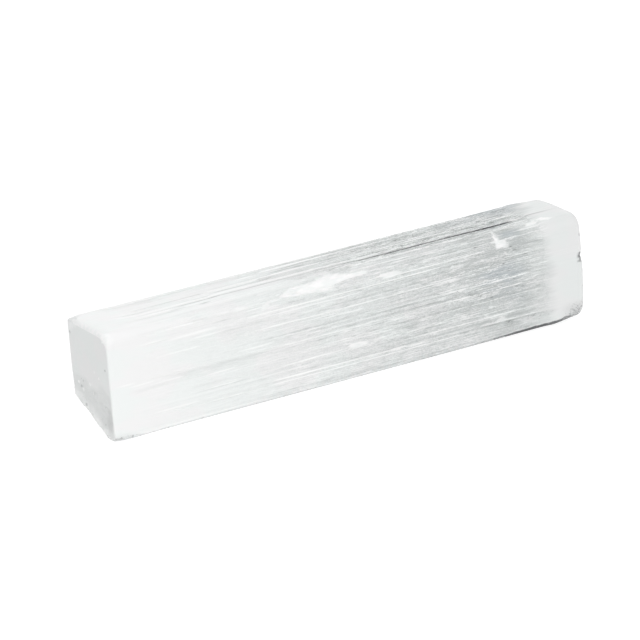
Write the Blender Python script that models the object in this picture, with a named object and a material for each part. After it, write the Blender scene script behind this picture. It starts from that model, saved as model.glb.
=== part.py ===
"""A selenite wand: one bar of fibrous satin spar with cut ends, standing on its narrow base.

The frame is in metres, +Z up. The origin is the middle of the base. The fibres run along X, the broad
front face looks along -Y, and the chipped, sharp-edged end is at -X.
"""

import math

import bmesh
import bpy
import numpy as np
from mathutils import Vector

MM = 0.001

# The bar.
LENGTH = 150.0 * MM  # to the middle of the +X end, which stands out the furthest
DEPTH = 23.0 * MM
HEIGHT = 30.6 * MM

# Corner radii of the cross-section, in the order front bottom, front top, back top, back bottom.
BODY_RADII = np.array([1.3, 3.0, 2.2, 1.6]) * MM
RUBBED_RADII = np.array([4.4, 3.8, 4.2, 2.8]) * MM  # at the +X end, which is rubbed round
RUBBED_LENGTH = 12.0 * MM  # the rubbed stretch at +X, which has no ledges
RUBBED_FADE = 2.0 * MM  # how quickly the ledges run out into it
SMOOTH_LENGTH = 13.0 * MM  # the stretch at -X over which the ledges fade in
EDGE_ROUND = (0.5 * MM, 1.3 * MM)  # rounding between the sides and the end face, at -X and at +X
END_FALL = np.array([0.1, 1.1, 1.0, 0.5]) * MM  # how far +X's front, bottom, back and top fall short

# Ledges: lengthwise ribbons of fibres that have split away to different depths. Each row is a ribbon of
# the front face: the height that it reaches up to, then its depth at each of FRONT_STATIONS.
FRONT_STATIONS = np.array([-58.0, -36.0, -10.0, 14.0, 40.0, 62.0]) * MM
FRONT_RIBBONS = np.array(
    [
        (4.8, 0.10, 0.20, 0.16, 0.05, 0.12, 0.30),
        (5.7, 0.22, 0.36, 0.00, 0.00, 0.30, 0.15),
        (9.1, 0.30, 0.26, 0.34, 0.30, 0.20, 0.34),
        (12.6, 0.26, 0.46, 0.42, 0.20, 0.36, 0.22),
        (14.8, 0.40, 0.60, 0.26, 0.42, 0.55, 0.30),
        (15.5, 0.30, 0.20, 0.05, 0.00, 0.00, 0.24),
        (17.3, 0.12, 0.10, 0.34, 0.36, 0.28, 0.12),
        (18.0, 0.10, 0.16, 0.10, 0.04, 0.00, 0.30),
        (21.2, 0.05, 0.14, 0.30, 0.46, 0.40, 0.16),
        (23.2, 0.12, 0.40, 0.16, 0.22, 0.50, 0.30),
        (25.4, 0.20, 0.14, 0.24, 0.38, 0.24, 0.10),
        (28.0, 0.04, 0.20, 0.10, 0.14, 0.36, 0.26),
    ]
)
TOP_SPLITS = np.array([3.2, 6.1, 8.8, 12.0, 14.3, 17.2, 19.6]) * MM  # distances behind the front face
BACK_SPLITS = np.array([3.6, 6.2, 8.9, 10.4, 14.0, 16.1, 19.4, 21.5, 24.8, 27.2]) * MM  # heights
BASE_SPLITS = np.array([4.4, 9.6, 13.0, 18.4]) * MM  # distances behind the front face
SPLIT_WIDTH = 0.2 * MM  # how wide the small riser at a split is
LEDGE_DEPTH = 0.55 * MM  # the deepest ribbon of the top and the back
BASE_LEDGE_DEPTH = 0.25 * MM  # the deepest of the base's every other ribbons; the bar rests on the others
STEPS_PER_RIBBON = 4  # of the top, the back and the base
STEP_REACH = 0.45  # how far from the middle a step may be, as a share of the length
STEP_FALL = (1.0 * MM, 4.0 * MM)  # the shortest and the longest run in which a step falls
LEDGE_SEED = 11

# The long open crack on the top, and the narrow strip in front of it, which has dropped.
CRACK_BEHIND_FRONT = 8.8 * MM
CRACK_START = 2.0 * MM
CRACK_END = 60.0 * MM
CRACK_OPENS_IN = 8.0 * MM
CRACK_CLOSES_IN = 3.0 * MM
CRACK_DEPTH = 0.9 * MM
CRACK_WIDTH = 0.5 * MM
STRIP_WIDTH = 2.7 * MM
STRIP_DROP = 0.3 * MM

# Flake scars on the front top shoulder: middle x, place above (-) or behind (+) the sharp front top
# edge, length, width, lean and depth. The lean is the rise across the section over the scar's length.
FLAKE_SCARS = tuple(
    {"x": x * MM, "across": a * MM, "length": l * MM, "width": w * MM, "lean": s * MM, "depth": d * MM}
    for x, a, l, w, s, d in (
        (-34.0, -2.2, 6.0, 2.6, 0.4, 0.35),
        (-9.0, -1.2, 24.0, 5.2, 1.2, 0.50),
        (13.8, -3.3, 10.0, 1.7, 0.3, 0.30),
        (50.6, -2.6, 5.6, 4.4, -1.6, 0.45),
        (61.0, 2.6, 9.0, 3.0, 1.2, 0.35),
    )
)
SCAR_FLOOR = 0.75  # the share of a scar's half width that is its level floor
SCAR_RIM = 0.1 * MM  # how far its slope runs on past that half width

# Chips at the -X end, as planes: a point that the plane passes through and its outward normal.
LOWER_BACK_CHIP = (Vector((-75.0, -7.7, 0.0)) * MM, Vector((-0.80, 0.39, -0.92)))
LOWER_BACK_SPALL = (Vector((-69.0, 11.3, 3.4)) * MM, Vector((-0.20, 0.62, -0.70)))
UPPER_BACK_CHIP = (Vector((-75.0, 6.0, 30.0)) * MM, Vector((-0.62, 0.10, 0.78)))
LOWER_FRONT_CHIP = (Vector((-75.0, -11.5, 1.7)) * MM, Vector((-0.55, -0.50, -0.67)))

# Shallow scoops: centre, radius and depth. The last is a nick in the +X end's front edge; the others
# are hollows in the broken lower part of the -X end.
SCOOPS = tuple(
    (Vector(centre) * MM, radius * MM, depth * MM)
    for centre, radius, depth in (
        ((-75.0, -6.0, 5.6), 5.0, 0.95),
        ((-75.0, 0.2, 10.6), 3.2, 0.55),
        ((-75.0, 5.6, 10.2), 3.6, 0.40),
        ((-75.0, 3.2, 5.6), 3.0, 0.45),
        ((74.4, -10.9, 18.1), 1.5, 0.75),
    )
)

# How finely the bar is modelled.
WIDEST_STEP = 2.4 * MM  # the widest gap between points round the section
POINTS_PER_CORNER = 5
STATIONS = 40  # cross-sections between the two end roundings
BROKEN_END_RINGS = (0.12, 0.24, 0.36, 0.48, 0.60, 0.72, 0.84, 0.93)  # as shares of the end's outline
RUBBED_END_RINGS = (0.35, 0.70, 0.90)
ROUNDING_STEPS = 3

SELENITE_COLOUR = (0.90, 0.91, 0.91, 1.0)

# Distances round the sharp rectangle, from the middle of the base by way of the front, top and back.
SIDE_STARTS = np.cumsum([0.0, DEPTH / 2, HEIGHT, DEPTH, HEIGHT])
SIDE_LENGTHS = np.array([DEPTH / 2, HEIGHT, DEPTH, HEIGHT, DEPTH / 2])
SIDE_CORNERS = np.array(
    [(0, 0), (-DEPTH / 2, 0), (-DEPTH / 2, HEIGHT), (DEPTH / 2, HEIGHT), (DEPTH / 2, 0)]
)
SIDE_WAYS = np.array([(-1, 0), (0, 1), (1, 0), (0, -1), (-1, 0)])
SIDE_NORMALS = np.array([(0, -1), (-1, 0), (0, 1), (1, 0), (0, -1)])
FRONT, TOP, BACK, BASE_BACK = 1, 2, 3, 4
FRONT_TOP_EDGE = SIDE_STARTS[TOP]


def smooth_step(value, start, end):
    """0 before start, 1 after end and a smooth rise between them."""
    share = np.clip((value - start) / (end - start), 0.0, 1.0)
    return share * share * (3 - 2 * share)


def round_section(around, radii):
    """(y, z) points and outward normals at these distances round the rectangle, its corners rounded."""
    side = np.clip(np.searchsorted(SIDE_STARTS, around, side="right") - 1, 0, BASE_BACK)
    along = around - SIDE_STARTS[side]
    way, normal = SIDE_WAYS[side].astype(float), SIDE_NORMALS[side].astype(float)
    point = SIDE_CORNERS[side] + way * along[:, None]
    turn = np.zeros_like(around)
    first = np.concatenate([[0.0], radii])[side]  # the middle of the base is no corner
    last = np.concatenate([radii, [0.0]])[side]
    for radius, gone, sign in ((first, along, -1), (last, SIDE_LENGTHS[side] - along, 1)):
        near = (gone < radius) & (radius > 0)
        centre = point + way * (sign * (gone - radius))[:, None] - normal * radius[:, None]
        turn = np.where(near, sign * (1 - gone / np.where(near, radius, 1)) * math.pi / 4, 0.0)
        bent = normal * np.cos(turn)[:, None] + way * np.sin(turn)[:, None]
        point = np.where(near[:, None], centre + bent * radius[:, None], point)
        normal = np.where(near[:, None], bent, normal)
    return point, normal


def split_lines():
    """Distances round the section of every split between two ribbons, in order."""
    front_half = BASE_SPLITS < DEPTH / 2
    return np.sort(
        np.concatenate(
            [
                DEPTH / 2 - BASE_SPLITS[front_half],
                SIDE_STARTS[FRONT] + FRONT_RIBBONS[:, 0] * MM,
                SIDE_STARTS[TOP] + TOP_SPLITS,
                SIDE_STARTS[BACK] + HEIGHT - BACK_SPLITS,
                SIDE_STARTS[BASE_BACK] + DEPTH - BASE_SPLITS[~front_half],
            ]
        )
    )


def ribbon_profiles(splits):
    """For each ribbon, the x positions and depths of the points along it."""
    rng = np.random.default_rng(LEDGE_SEED)
    profiles = []
    for place in np.append(splits, SIDE_STARTS[BASE_BACK] + DEPTH / 2):
        breaks = np.sort(rng.uniform(-STEP_REACH, STEP_REACH, STEPS_PER_RIBBON)) * LENGTH
        falls = rng.uniform(*STEP_FALL, STEPS_PER_RIBBON)
        depths = rng.uniform(0.0, 1.0, STEPS_PER_RIBBON + 1)
        places = np.column_stack([breaks - falls / 2, breaks + falls / 2]).ravel()
        on_base = place < SIDE_STARTS[FRONT] or place > SIDE_STARTS[BASE_BACK]
        most = BASE_LEDGE_DEPTH if on_base else LEDGE_DEPTH
        profiles.append((places, np.repeat(depths, 2)[1:-1] * most))
    back_edge = int(np.searchsorted(splits, SIDE_STARTS[BACK]))
    profiles[back_edge] = (FRONT_STATIONS, np.zeros(len(FRONT_STATIONS)))  # the back top edge is whole
    first = int(np.searchsorted(splits, SIDE_STARTS[FRONT]))
    for index, ribbon in enumerate(FRONT_RIBBONS):
        profiles[first + index] = (FRONT_STATIONS, ribbon[1:] * MM)
    return profiles


SPLITS = split_lines()
PROFILES = ribbon_profiles(SPLITS)


def ledge_depth(around, x):
    """How far the ribbons lie below the bar's outline, at distances round the section at station x."""
    ribbon = np.searchsorted(SPLITS, around)
    depth = np.array([np.interp(x, places, depths) for places, depths in PROFILES])[ribbon]
    base_front = around < SIDE_STARTS[FRONT]
    on_base = base_front | (around > SIDE_STARTS[BASE_BACK])
    behind = np.where(base_front, DEPTH / 2, SIDE_STARTS[BASE_BACK] + DEPTH) - around
    depth[on_base & (np.searchsorted(BASE_SPLITS, behind) % 2 == 0)] = 0.0  # the ribbons that it rests on
    fade_in = smooth_step(x, -LENGTH / 2 + SMOOTH_LENGTH / 4, -LENGTH / 2 + SMOOTH_LENGTH)
    rubbed = LENGTH / 2 - RUBBED_LENGTH
    return depth * fade_in * (1 - smooth_step(x, rubbed - RUBBED_FADE, rubbed))


def crack_depth(around, x):
    """The open crack on the top, and the dropped strip in front of it."""
    behind = around - (SIDE_STARTS[TOP] + CRACK_BEHIND_FRONT)
    opened = smooth_step(x, CRACK_START, CRACK_START + CRACK_OPENS_IN)
    opened *= 1 - smooth_step(x, CRACK_END - CRACK_CLOSES_IN, CRACK_END)
    groove = np.clip(1 - np.abs(behind) / (CRACK_WIDTH / 2), 0, 1) * CRACK_DEPTH
    strip = ((behind < 0) & (behind > -STRIP_WIDTH)) * STRIP_DROP
    return np.maximum(groove, strip) * opened


def flake_depth(around, x):
    """The flake scars on the front top shoulder."""
    depth = np.zeros_like(around)
    for scar in FLAKE_SCARS:
        share = (x - scar["x"]) / (scar["length"] / 2)
        if abs(share) >= 1:
            continue
        middle = FRONT_TOP_EDGE + scar["across"] + share * scar["lean"] / 2
        reach = scar["width"] / 2 * math.sqrt(1 - share * share)
        inside = 1 - smooth_step(np.abs(around - middle), SCAR_FLOOR * reach, reach + SCAR_RIM)
        depth = np.maximum(depth, inside * scar["depth"])
    return depth


def points_around():
    """Distances round the section where the skin has points: at both sides of each split, on the corners
    and on the crack, with more between them wherever the gap would be wide."""
    fixed = [0.0]
    fixed += [split + side * SPLIT_WIDTH / 2 for split in SPLITS for side in (-1, 1)]
    crack = SIDE_STARTS[TOP] + CRACK_BEHIND_FRONT
    fixed = [place for place in fixed if abs(place - crack) > SPLIT_WIDTH]
    fixed += [crack - CRACK_WIDTH / 2, crack, crack + CRACK_WIDTH / 2]
    for start, radius in zip(SIDE_STARTS[FRONT:], BODY_RADII):
        fixed += list(np.linspace(start - radius, start + radius, POINTS_PER_CORNER))
    fixed = np.sort(np.array(fixed))
    placed = []
    for here, after in zip(fixed, np.append(fixed[1:], SIDE_STARTS[BASE_BACK] + DEPTH / 2)):
        pieces = max(1, math.ceil((after - here) / WIDEST_STEP))
        placed += list(here + (after - here) * np.arange(pieces) / pieces)
    return np.array(placed)


def stations():
    """The rings from -X to +X: x, how far the ring is drawn in, and its share of the outline."""
    left, right = EDGE_ROUND
    end = LENGTH / 2
    turns = [math.pi / 2 * k / ROUNDING_STEPS for k in range(ROUNDING_STEPS + 1)]
    rings = [(-end, left, share) for share in BROKEN_END_RINGS]
    rings += [(-end + left * (1 - math.cos(a)), left * (1 - math.sin(a)), 1.0) for a in turns]
    rings += [(x, 0.0, 1.0) for x in np.linspace(-end + left, end - right, STATIONS + 2)[1:-1]]
    rings += [(end - right * (1 - math.cos(a)), right * (1 - math.sin(a)), 1.0) for a in reversed(turns)]
    rings += [(end, right, share) for share in reversed(RUBBED_END_RINGS)]
    return rings


def ring_points(around, x, drawn_in, share):
    """One ring of the skin, as x, y, z rows."""
    rubbed = smooth_step(x, LENGTH / 2 - RUBBED_LENGTH, LENGTH / 2)
    radii = BODY_RADII * (1 - rubbed) + RUBBED_RADII * rubbed
    point, normal = round_section(around, radii)
    sunk = drawn_in + np.maximum(ledge_depth(around, x), 0)
    sunk += crack_depth(around, x) + flake_depth(around, x)
    point = point - normal * sunk[:, None]
    middle = np.array([0.0, HEIGHT / 2])
    point = middle + (point - middle) * share
    across = (point - middle) / np.array([DEPTH / 2, HEIGHT / 2])
    towards = np.clip(np.column_stack([-across, across]), 0, None)  # front, bottom, back and top
    return np.column_stack([x - rubbed * (towards**2 @ END_FALL), point])


def scoop(place):
    """The place of a point after the shallow scoops have been taken out of the bar."""
    inward = Vector((0, 0, HEIGHT / 2)) - place
    for centre, radius, depth in SCOOPS:
        share = (place - centre).length / radius
        if share < 1:
            place = place + inward.normalized() * depth * (1 - share * share)
    return place


def shape_skin(mesh):
    """Turns a ball of rings and segments into the fibrous bar."""
    around = points_around()
    rings = stations()
    bmesh.ops.create_uvsphere(mesh, u_segments=len(around), v_segments=len(rings) + 1, radius=1.0)
    skins = [ring_points(around, *ring) for ring in rings]
    for vertex in mesh.verts:
        ring = round(math.acos(max(-1.0, min(1.0, -vertex.co.z))) / math.pi * (len(rings) + 1))
        if ring in (0, len(rings) + 1):
            end = LENGTH / 2 if ring else -LENGTH / 2
            vertex.co = (end, 0.0, HEIGHT / 2)
            continue
        segment = round(math.atan2(vertex.co.y, vertex.co.x) / (2 * math.pi) * len(around)) % len(around)
        vertex.co = scoop(Vector(skins[ring - 1][segment]))


def break_off(mesh, place, normal):
    """Takes off everything outside a plane and closes the break."""
    cut = bmesh.ops.bisect_plane(
        mesh,
        geom=mesh.verts[:] + mesh.edges[:] + mesh.faces[:],
        dist=1e-6,
        plane_co=place,
        plane_no=normal.normalized(),
        clear_outer=True,
    )
    rim = [item for item in cut["geom_cut"] if isinstance(item, bmesh.types.BMEdge)]
    bmesh.ops.holes_fill(mesh, edges=rim, sides=0)


def selenite_material():
    """White satin spar, a little glossy along its fibres."""
    material = bpy.data.materials.new("selenite")
    material.use_nodes = True
    shader = material.node_tree.nodes["Principled BSDF"]
    shader.inputs["Base Color"].default_value = SELENITE_COLOUR
    shader.inputs["Roughness"].default_value = 0.35
    shader.inputs["Metallic"].default_value = 0.0
    return material


def build_wand(collection):
    """The whole crystal, as one solid."""
    mesh = bmesh.new()
    shape_skin(mesh)
    for place, normal in (LOWER_BACK_CHIP, LOWER_BACK_SPALL, UPPER_BACK_CHIP, LOWER_FRONT_CHIP):
        break_off(mesh, place, normal)
    bmesh.ops.recalc_face_normals(mesh, faces=mesh.faces[:])
    data = bpy.data.meshes.new("selenite_wand")
    mesh.to_mesh(data)
    mesh.free()
    data.materials.append(selenite_material())
    wand = bpy.data.objects.new("selenite_wand", data)
    collection.objects.link(wand)
    return wand


def main():
    for old in list(bpy.data.objects):
        bpy.data.objects.remove(old)
    collection = bpy.data.collections.new("selenite wand")
    bpy.context.scene.collection.children.link(collection)
    build_wand(collection)


main()
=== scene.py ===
"""Dresses a selenite wand: one bar of white satin spar with silky fibres, lying on a pale studio table.

The bar runs along X and stands on its narrow base at z = 0. The broad front face looks along -Y. The end
at -X is broken and the end at +X is rubbed smooth. All lengths are in metres.
"""

import logging
import math
from dataclasses import dataclass, field
from enum import Enum
from functools import cached_property

import bpy
import numpy as np
from mathutils import Matrix, Vector, noise


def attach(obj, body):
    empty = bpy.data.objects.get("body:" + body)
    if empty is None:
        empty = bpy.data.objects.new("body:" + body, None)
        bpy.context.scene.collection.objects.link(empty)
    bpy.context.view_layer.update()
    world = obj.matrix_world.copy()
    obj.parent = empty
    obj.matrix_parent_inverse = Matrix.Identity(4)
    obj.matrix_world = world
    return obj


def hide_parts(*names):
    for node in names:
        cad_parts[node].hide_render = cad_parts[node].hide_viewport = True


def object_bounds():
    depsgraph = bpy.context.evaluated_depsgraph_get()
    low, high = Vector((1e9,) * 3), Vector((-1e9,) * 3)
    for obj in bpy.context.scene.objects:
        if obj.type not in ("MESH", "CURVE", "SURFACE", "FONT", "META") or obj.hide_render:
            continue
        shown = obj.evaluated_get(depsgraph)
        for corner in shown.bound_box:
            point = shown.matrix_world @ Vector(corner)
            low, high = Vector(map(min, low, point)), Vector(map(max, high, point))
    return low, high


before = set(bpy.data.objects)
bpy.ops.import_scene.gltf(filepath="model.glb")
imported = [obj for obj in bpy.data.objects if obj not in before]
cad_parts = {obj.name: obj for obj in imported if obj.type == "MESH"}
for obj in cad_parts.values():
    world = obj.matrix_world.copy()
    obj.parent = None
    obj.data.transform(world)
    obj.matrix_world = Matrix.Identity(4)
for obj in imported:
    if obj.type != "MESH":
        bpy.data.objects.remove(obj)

MM = 0.001
CAD_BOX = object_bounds()
LOG = logging.getLogger("selenite")

Pair = tuple[float, float]
Triple = tuple[float, float, float]
Colour = tuple[float, float, float, float]
Socket = bpy.types.NodeSocket


class Side(Enum):
    """The sides of the bar, in the order in which the section is walked from the middle of the base."""

    BASE_FRONT = 0
    FRONT = 1
    TOP = 2
    BACK = 3
    BASE_BACK = 4


class Field(Enum):
    """The named values that the skin carries for its material."""

    MILK = "milk"
    CLEAR = "clear"
    # Bruised white, and painted light on the broken end's lip and on the rim of its first chip.
    BRUISE_AND_LIGHT = "bruise_and_light"
    # Painted highlight on the raised hairlines.
    CREST_HIGHLIGHT = "crest"
    # Painted shade in the split hairlines.
    SPLIT = "split"
    # Painted shade along the lower front edge, where it turns under towards the table.
    UNDER = "under"
    # Painted shade, stored under the name "crack": the open crack's floor, the pits at +X, the dark specks
    # and the dark splinters.
    SHADE = "crack"
    BROKEN = "broken"
    FIBROUS = "fibrous"
    LIVELY = "lively"
    THREAD = "thread"


def metres(*millimetres: float) -> tuple[float, ...]:
    """The same lengths in metres."""
    return tuple(length * MM for length in millimetres)


def rise(value: np.ndarray, start: float, end: float) -> np.ndarray:
    """Rises smoothly from 0 at start to 1 at end."""
    share = np.clip((value - start) / (end - start), 0.0, 1.0)
    return share * share * (3 - 2 * share)


def fall(value: np.ndarray, start: float, end: float) -> np.ndarray:
    """Falls smoothly from 1 at start to 0 at end."""
    return 1 - rise(value, start, end)


def bell(value: np.ndarray, middle: float, width: float) -> np.ndarray:
    """A smooth bump that is 1 at the middle and falls to 0 at half the width away."""
    return fall(np.abs(value - middle), 0.0, width / 2)


def at_least(least: float, share: np.ndarray) -> np.ndarray:
    """A share from 0 to 1, raised so that it runs from least to 1."""
    return least + (1 - least) * share


@dataclass(frozen=True)
class Spots:
    """Places on the skin, as arrays of one shape.

    Attributes:
        x: Where they are along the bar.
        around: How far they are round the section.
        up: How high they are up the front, carried on over the edge and back across the top.
        top: The same, counted from the front's top edge.
    """

    x: np.ndarray
    around: np.ndarray
    up: np.ndarray
    top: np.ndarray


@dataclass(frozen=True)
class Drift:
    """Smooth random values that last long along the fibres and change quickly across them.

    Attributes:
        length: How far a value lasts along the fibres.
        pitch: How far it lasts across them.
        seed: Picks the pattern.
    """

    length: float
    pitch: float
    seed: int

    def share(self, along: np.ndarray, across: np.ndarray) -> np.ndarray:
        """The values, from 0 to 1.

        Args:
            along: Places along the fibres.
            across: Places across the fibres, of the same shape.

        Returns:
            Values of the same shape.
        """
        rng = np.random.default_rng(self.seed)
        u = (along - along.min()) / self.length
        v = (across - across.min()) / self.pitch
        table = rng.random((int(u.max()) + 3, int(v.max()) + 3))
        i, j = u.astype(int), v.astype(int)
        s, t = u - i, v - j
        s, t = s * s * (3 - 2 * s), t * t * (3 - 2 * t)
        low = table[i, j] * (1 - s) + table[i + 1, j] * s
        high = table[i, j + 1] * (1 - s) + table[i + 1, j + 1] * s
        return low * (1 - t) + high * t

    def sway(self, along: np.ndarray, across: np.ndarray) -> np.ndarray:
        """The same values, from -0.5 to 0.5."""
        return self.share(along, across) - 0.5


@dataclass(frozen=True)
class Flake:
    """A scar where a flake of fibres has split off, bruised white.

    Attributes:
        depth: How deep it is.
        white: How white its floor is, from 0 to 1.
        fray: How far its fibres end before or past the outline.
        outline: Its corners in millimetres, each a place along the bar and a height up the front. A height
            above the front's own carries on over the edge and back across the top.
        fibres: The fibres that end at places of their own.
        edge: Half the width of its edge.
    """

    depth: float
    white: float
    fray: float
    outline: tuple[Pair, ...]
    fibres: Drift = Drift(2.0 * MM, 0.34 * MM, 51)
    edge: float = 0.12 * MM

    @property
    def reach(self) -> Pair:
        """Where it starts and ends along the bar."""
        return min(self.outline)[0] * MM, max(self.outline)[0] * MM

    def inside(self, at: Spots) -> np.ndarray:
        """How much of the scar is at each place, from 0 to 1.

        Args:
            at: Places on the skin.

        Returns:
            Values of the same shape.
        """
        corners = np.array(self.outline) * MM
        lowest, highest = corners.min(axis=0) - self.fray, corners.max(axis=0) + self.fray
        near = (at.x > lowest[0]) & (at.x < highest[0]) & (at.up > lowest[1]) & (at.up < highest[1])
        px = at.x[near] + self.fibres.sway(at.x, at.up)[near] * 2 * self.fray
        py = at.up[near]
        apart, crossings = np.full(px.shape, 1.0), np.zeros(px.shape, int)
        for (ax, ay), (bx, by) in zip(corners, np.roll(corners, -1, axis=0)):
            run, climb = bx - ax, by - ay
            share = np.clip(((px - ax) * run + (py - ay) * climb) / (run**2 + climb**2), 0, 1)
            apart = np.minimum(apart, np.hypot(px - ax - share * run, py - ay - share * climb))
            passed = (ay > py) != (by > py)
            crossings += passed & (px < ax + (py - ay) / (climb or 1e-12) * run)
        result = np.zeros_like(at.x)
        result[near] = rise(np.where(crossings % 2 == 1, apart, -apart), -self.edge, self.edge)
        return result


@dataclass(frozen=True)
class Line:
    """A long hairline: a raised edge of fibres, which is also painted white as a painted highlight, or a
    split, which is also painted dark as painted shade.

    Attributes:
        up: Its height up the front, carried on over the edge and back across the top.
        start: Where it starts along the bar.
        end: Where it ends.
        width: How wide it is.
        strength: How strongly it shows, from 0 to 1.
    """

    up: float
    start: float
    end: float
    width: float
    strength: float


def lines(*rows: tuple[float, ...]) -> tuple[Line, ...]:
    """Lines from rows in millimetres, whose last value is the strength."""
    return tuple(Line(*metres(*row[:-1]), row[-1]) for row in rows)


def flake(depth: float, white: float, fray: float, *outline: Pair) -> Flake:
    """A flake scar from lengths in millimetres."""
    return Flake(depth * MM, white, fray * MM, outline)


# Each flake's depth, whiteness and fray, then its outline. All but the whiteness are in millimetres.
FLAKES = (
    flake(
        0.45, 1.0, 0.5,
        (-21.8, 29.2), (-20.2, 31.0), (-18.0, 32.3), (-15.0, 32.1), (-9.5, 33.3), (-8.5, 35.0),
        (-5.4, 35.2), (-5.0, 36.4), (-3.0, 36.3), (-1.4, 34.6), (1.6, 33.2), (0.6, 31.9),
        (-1.0, 29.4), (-4.3, 29.0), (-4.4, 27.1), (-8.0, 27.2), (-12.0, 27.8), (-18.0, 28.3),
    ),
    flake(0.30, 0.95, 1.6, (-3.6, 29.6), (-1.0, 32.2), (5.6, 31.8), (6.4, 30.6), (5.4, 29.9)),
    flake(0.25, 0.9, 1.4, (7.6, 27.4), (10.0, 28.2), (14.5, 28.0), (17.6, 27.3), (16.0, 26.6), (10.5, 26.5)),
    flake(0.20, 0.9, 0.3, (-27.2, 26.8), (-26.9, 28.4), (-25.2, 28.5), (-25.0, 27.4), (-26.0, 26.7)),
    flake(0.20, 0.8, 0.8, (-25.6, 28.2), (-25.2, 29.2), (-22.4, 29.3), (-22.2, 28.3)),
    flake(0.20, 0.8, 0.7, (-37.2, 28.2), (-36.0, 29.7), (-32.6, 29.8), (-31.8, 28.4), (-34.0, 27.9)),
    flake(0.12, 0.55, 0.8, (-28.0, 32.0), (-27.4, 33.6), (-24.6, 33.8), (-24.0, 32.4)),
    flake(0.15, 0.8, 1.6, (-2.6, 9.2), (-1.6, 10.3), (1.0, 10.4), (4.8, 9.8), (3.6, 9.0), (-1.0, 8.9)),
    flake(0.10, 0.45, 1.2, (33.4, 24.0), (33.8, 24.8), (36.2, 24.7), (36.6, 24.0)),
    flake(0.12, 0.6, 1.2, (45.8, 5.5), (46.5, 6.8), (48.0, 6.9), (49.2, 6.0), (48.6, 5.3)),
    flake(0.08, 0.35, 1.2, (53.4, 3.0), (54.0, 4.6), (57.6, 4.3), (58.2, 2.8)),
    flake(
        0.40, 1.0, 0.12,
        (47.0, 26.5), (51.1, 26.2), (50.5, 29.1), (48.5, 29.5), (48.1, 31.6), (48.8, 35.6), (48.0, 35.7),
        (47.2, 32.0), (46.9, 30.0), (45.2, 29.2), (47.1, 28.6),
    ),
    flake(0.10, 0.35, 1.2, (50.4, 35.4), (49.8, 38.3), (57.2, 38.2), (56.6, 35.6)),
    flake(0.18, 0.7, 1.2, (54.4, 31.4), (55.6, 32.3), (60.8, 32.5), (60.6, 31.5)),
    flake(0.30, 1.0, 0.5, (57.6, 32.6), (59.0, 34.4), (60.2, 36.0), (62.8, 35.7), (62.4, 33.7), (60.6, 33.0)),
    flake(0.25, 1.0, 0.4, (63.0, 35.5), (65.0, 35.8), (67.4, 33.2), (65.8, 32.5), (63.6, 33.5)),
)

# Each line's height, start, end and width in millimetres, then its strength. The crests stand proud of the
# skin and are also painted white along their length as a painted highlight.
CRESTS = lines(
    (29.6, 48, 57, 0.34, 0.7),
    (28.9, 3, 18, 0.28, 0.5),
    (28.5, 20, 45, 0.30, 0.6),
    (28.2, -60, -45, 0.50, 0.6),
    (27.4, -33, -27, 0.40, 0.7),
    (26.7, 10, 46, 0.30, 1.2),
    (25.5, -33, 30, 0.34, 1.3),
    (25.6, -67, -58, 0.60, 0.45),
    (25.0, -58, -41, 0.90, 0.5),
    (24.4, -26, 4, 0.28, 0.6),
    (23.6, -50, -40, 0.40, 0.4),
    (22.3, 2, 26, 0.26, 0.5),
    (21.1, -60, -46, 0.40, 0.35),
    (21.1, -29, 36, 0.32, 1.3),
    (20.2, -18, -2, 0.26, 0.5),
    (19.5, -10, 7, 0.28, 0.7),
    (19.3, 56, 64, 0.30, 0.8),
    (18.2, 26, 52, 0.26, 0.6),
    (17.5, 6, 40, 0.32, 1.4),
    (17.4, 36, 58, 0.42, 1.6),
    (16.6, -36, -24, 0.36, 0.5),
    (16.4, -16, 27, 0.26, 0.5),
    (15.5, -74, -67, 0.60, 0.45),
    (15.0, -24, 57, 0.34, 1.5),
    (14.6, -70, -60, 0.50, 0.45),
    (13.7, -62, -53, 0.40, 0.7),
    (13.6, 15, 21, 0.30, 0.6),
    (12.3, -45, -37, 0.36, 0.7),
    (12.0, -20, 12, 0.26, 0.4),
    (9.2, -24, -6, 0.30, 0.8),
    (8.5, -48, -36, 0.30, 0.5),
    (7.4, 18, 36, 0.24, 0.4),
    (5.6, -64, -48, 0.45, 0.5),
    (5.7, -27, 22, 0.30, 1.2),
    (4.7, -45, -34, 0.30, 0.7),
    (4.7, -29, 36, 0.28, 1.1),
    (1.2, -62, -28, 0.40, 0.5),
    (33.5, 2, 23, 0.90, 0.7),
    (37.9, 0, 50, 0.70, 0.5),
    (38.2, -60, -40, 0.90, 0.5),
    (41.4, -66, -32, 0.80, 0.9),
    (41.6, -34, 42, 0.70, 0.6),
    (45.0, -38, 58, 0.90, 1.4),
    (48.0, -26, -20, 0.90, 0.8),
    (49.4, -19, 7, 0.90, 1.4),
    (49.5, 5, 44, 0.80, 0.6),
    (51.4, -14, 20, 0.60, 0.5),
)

# The splits sink into the skin and are also painted darker as painted shade; the two broad faint ones near 13
# to 14 mm at -X are painted shadow beneath a ledge.
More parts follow.
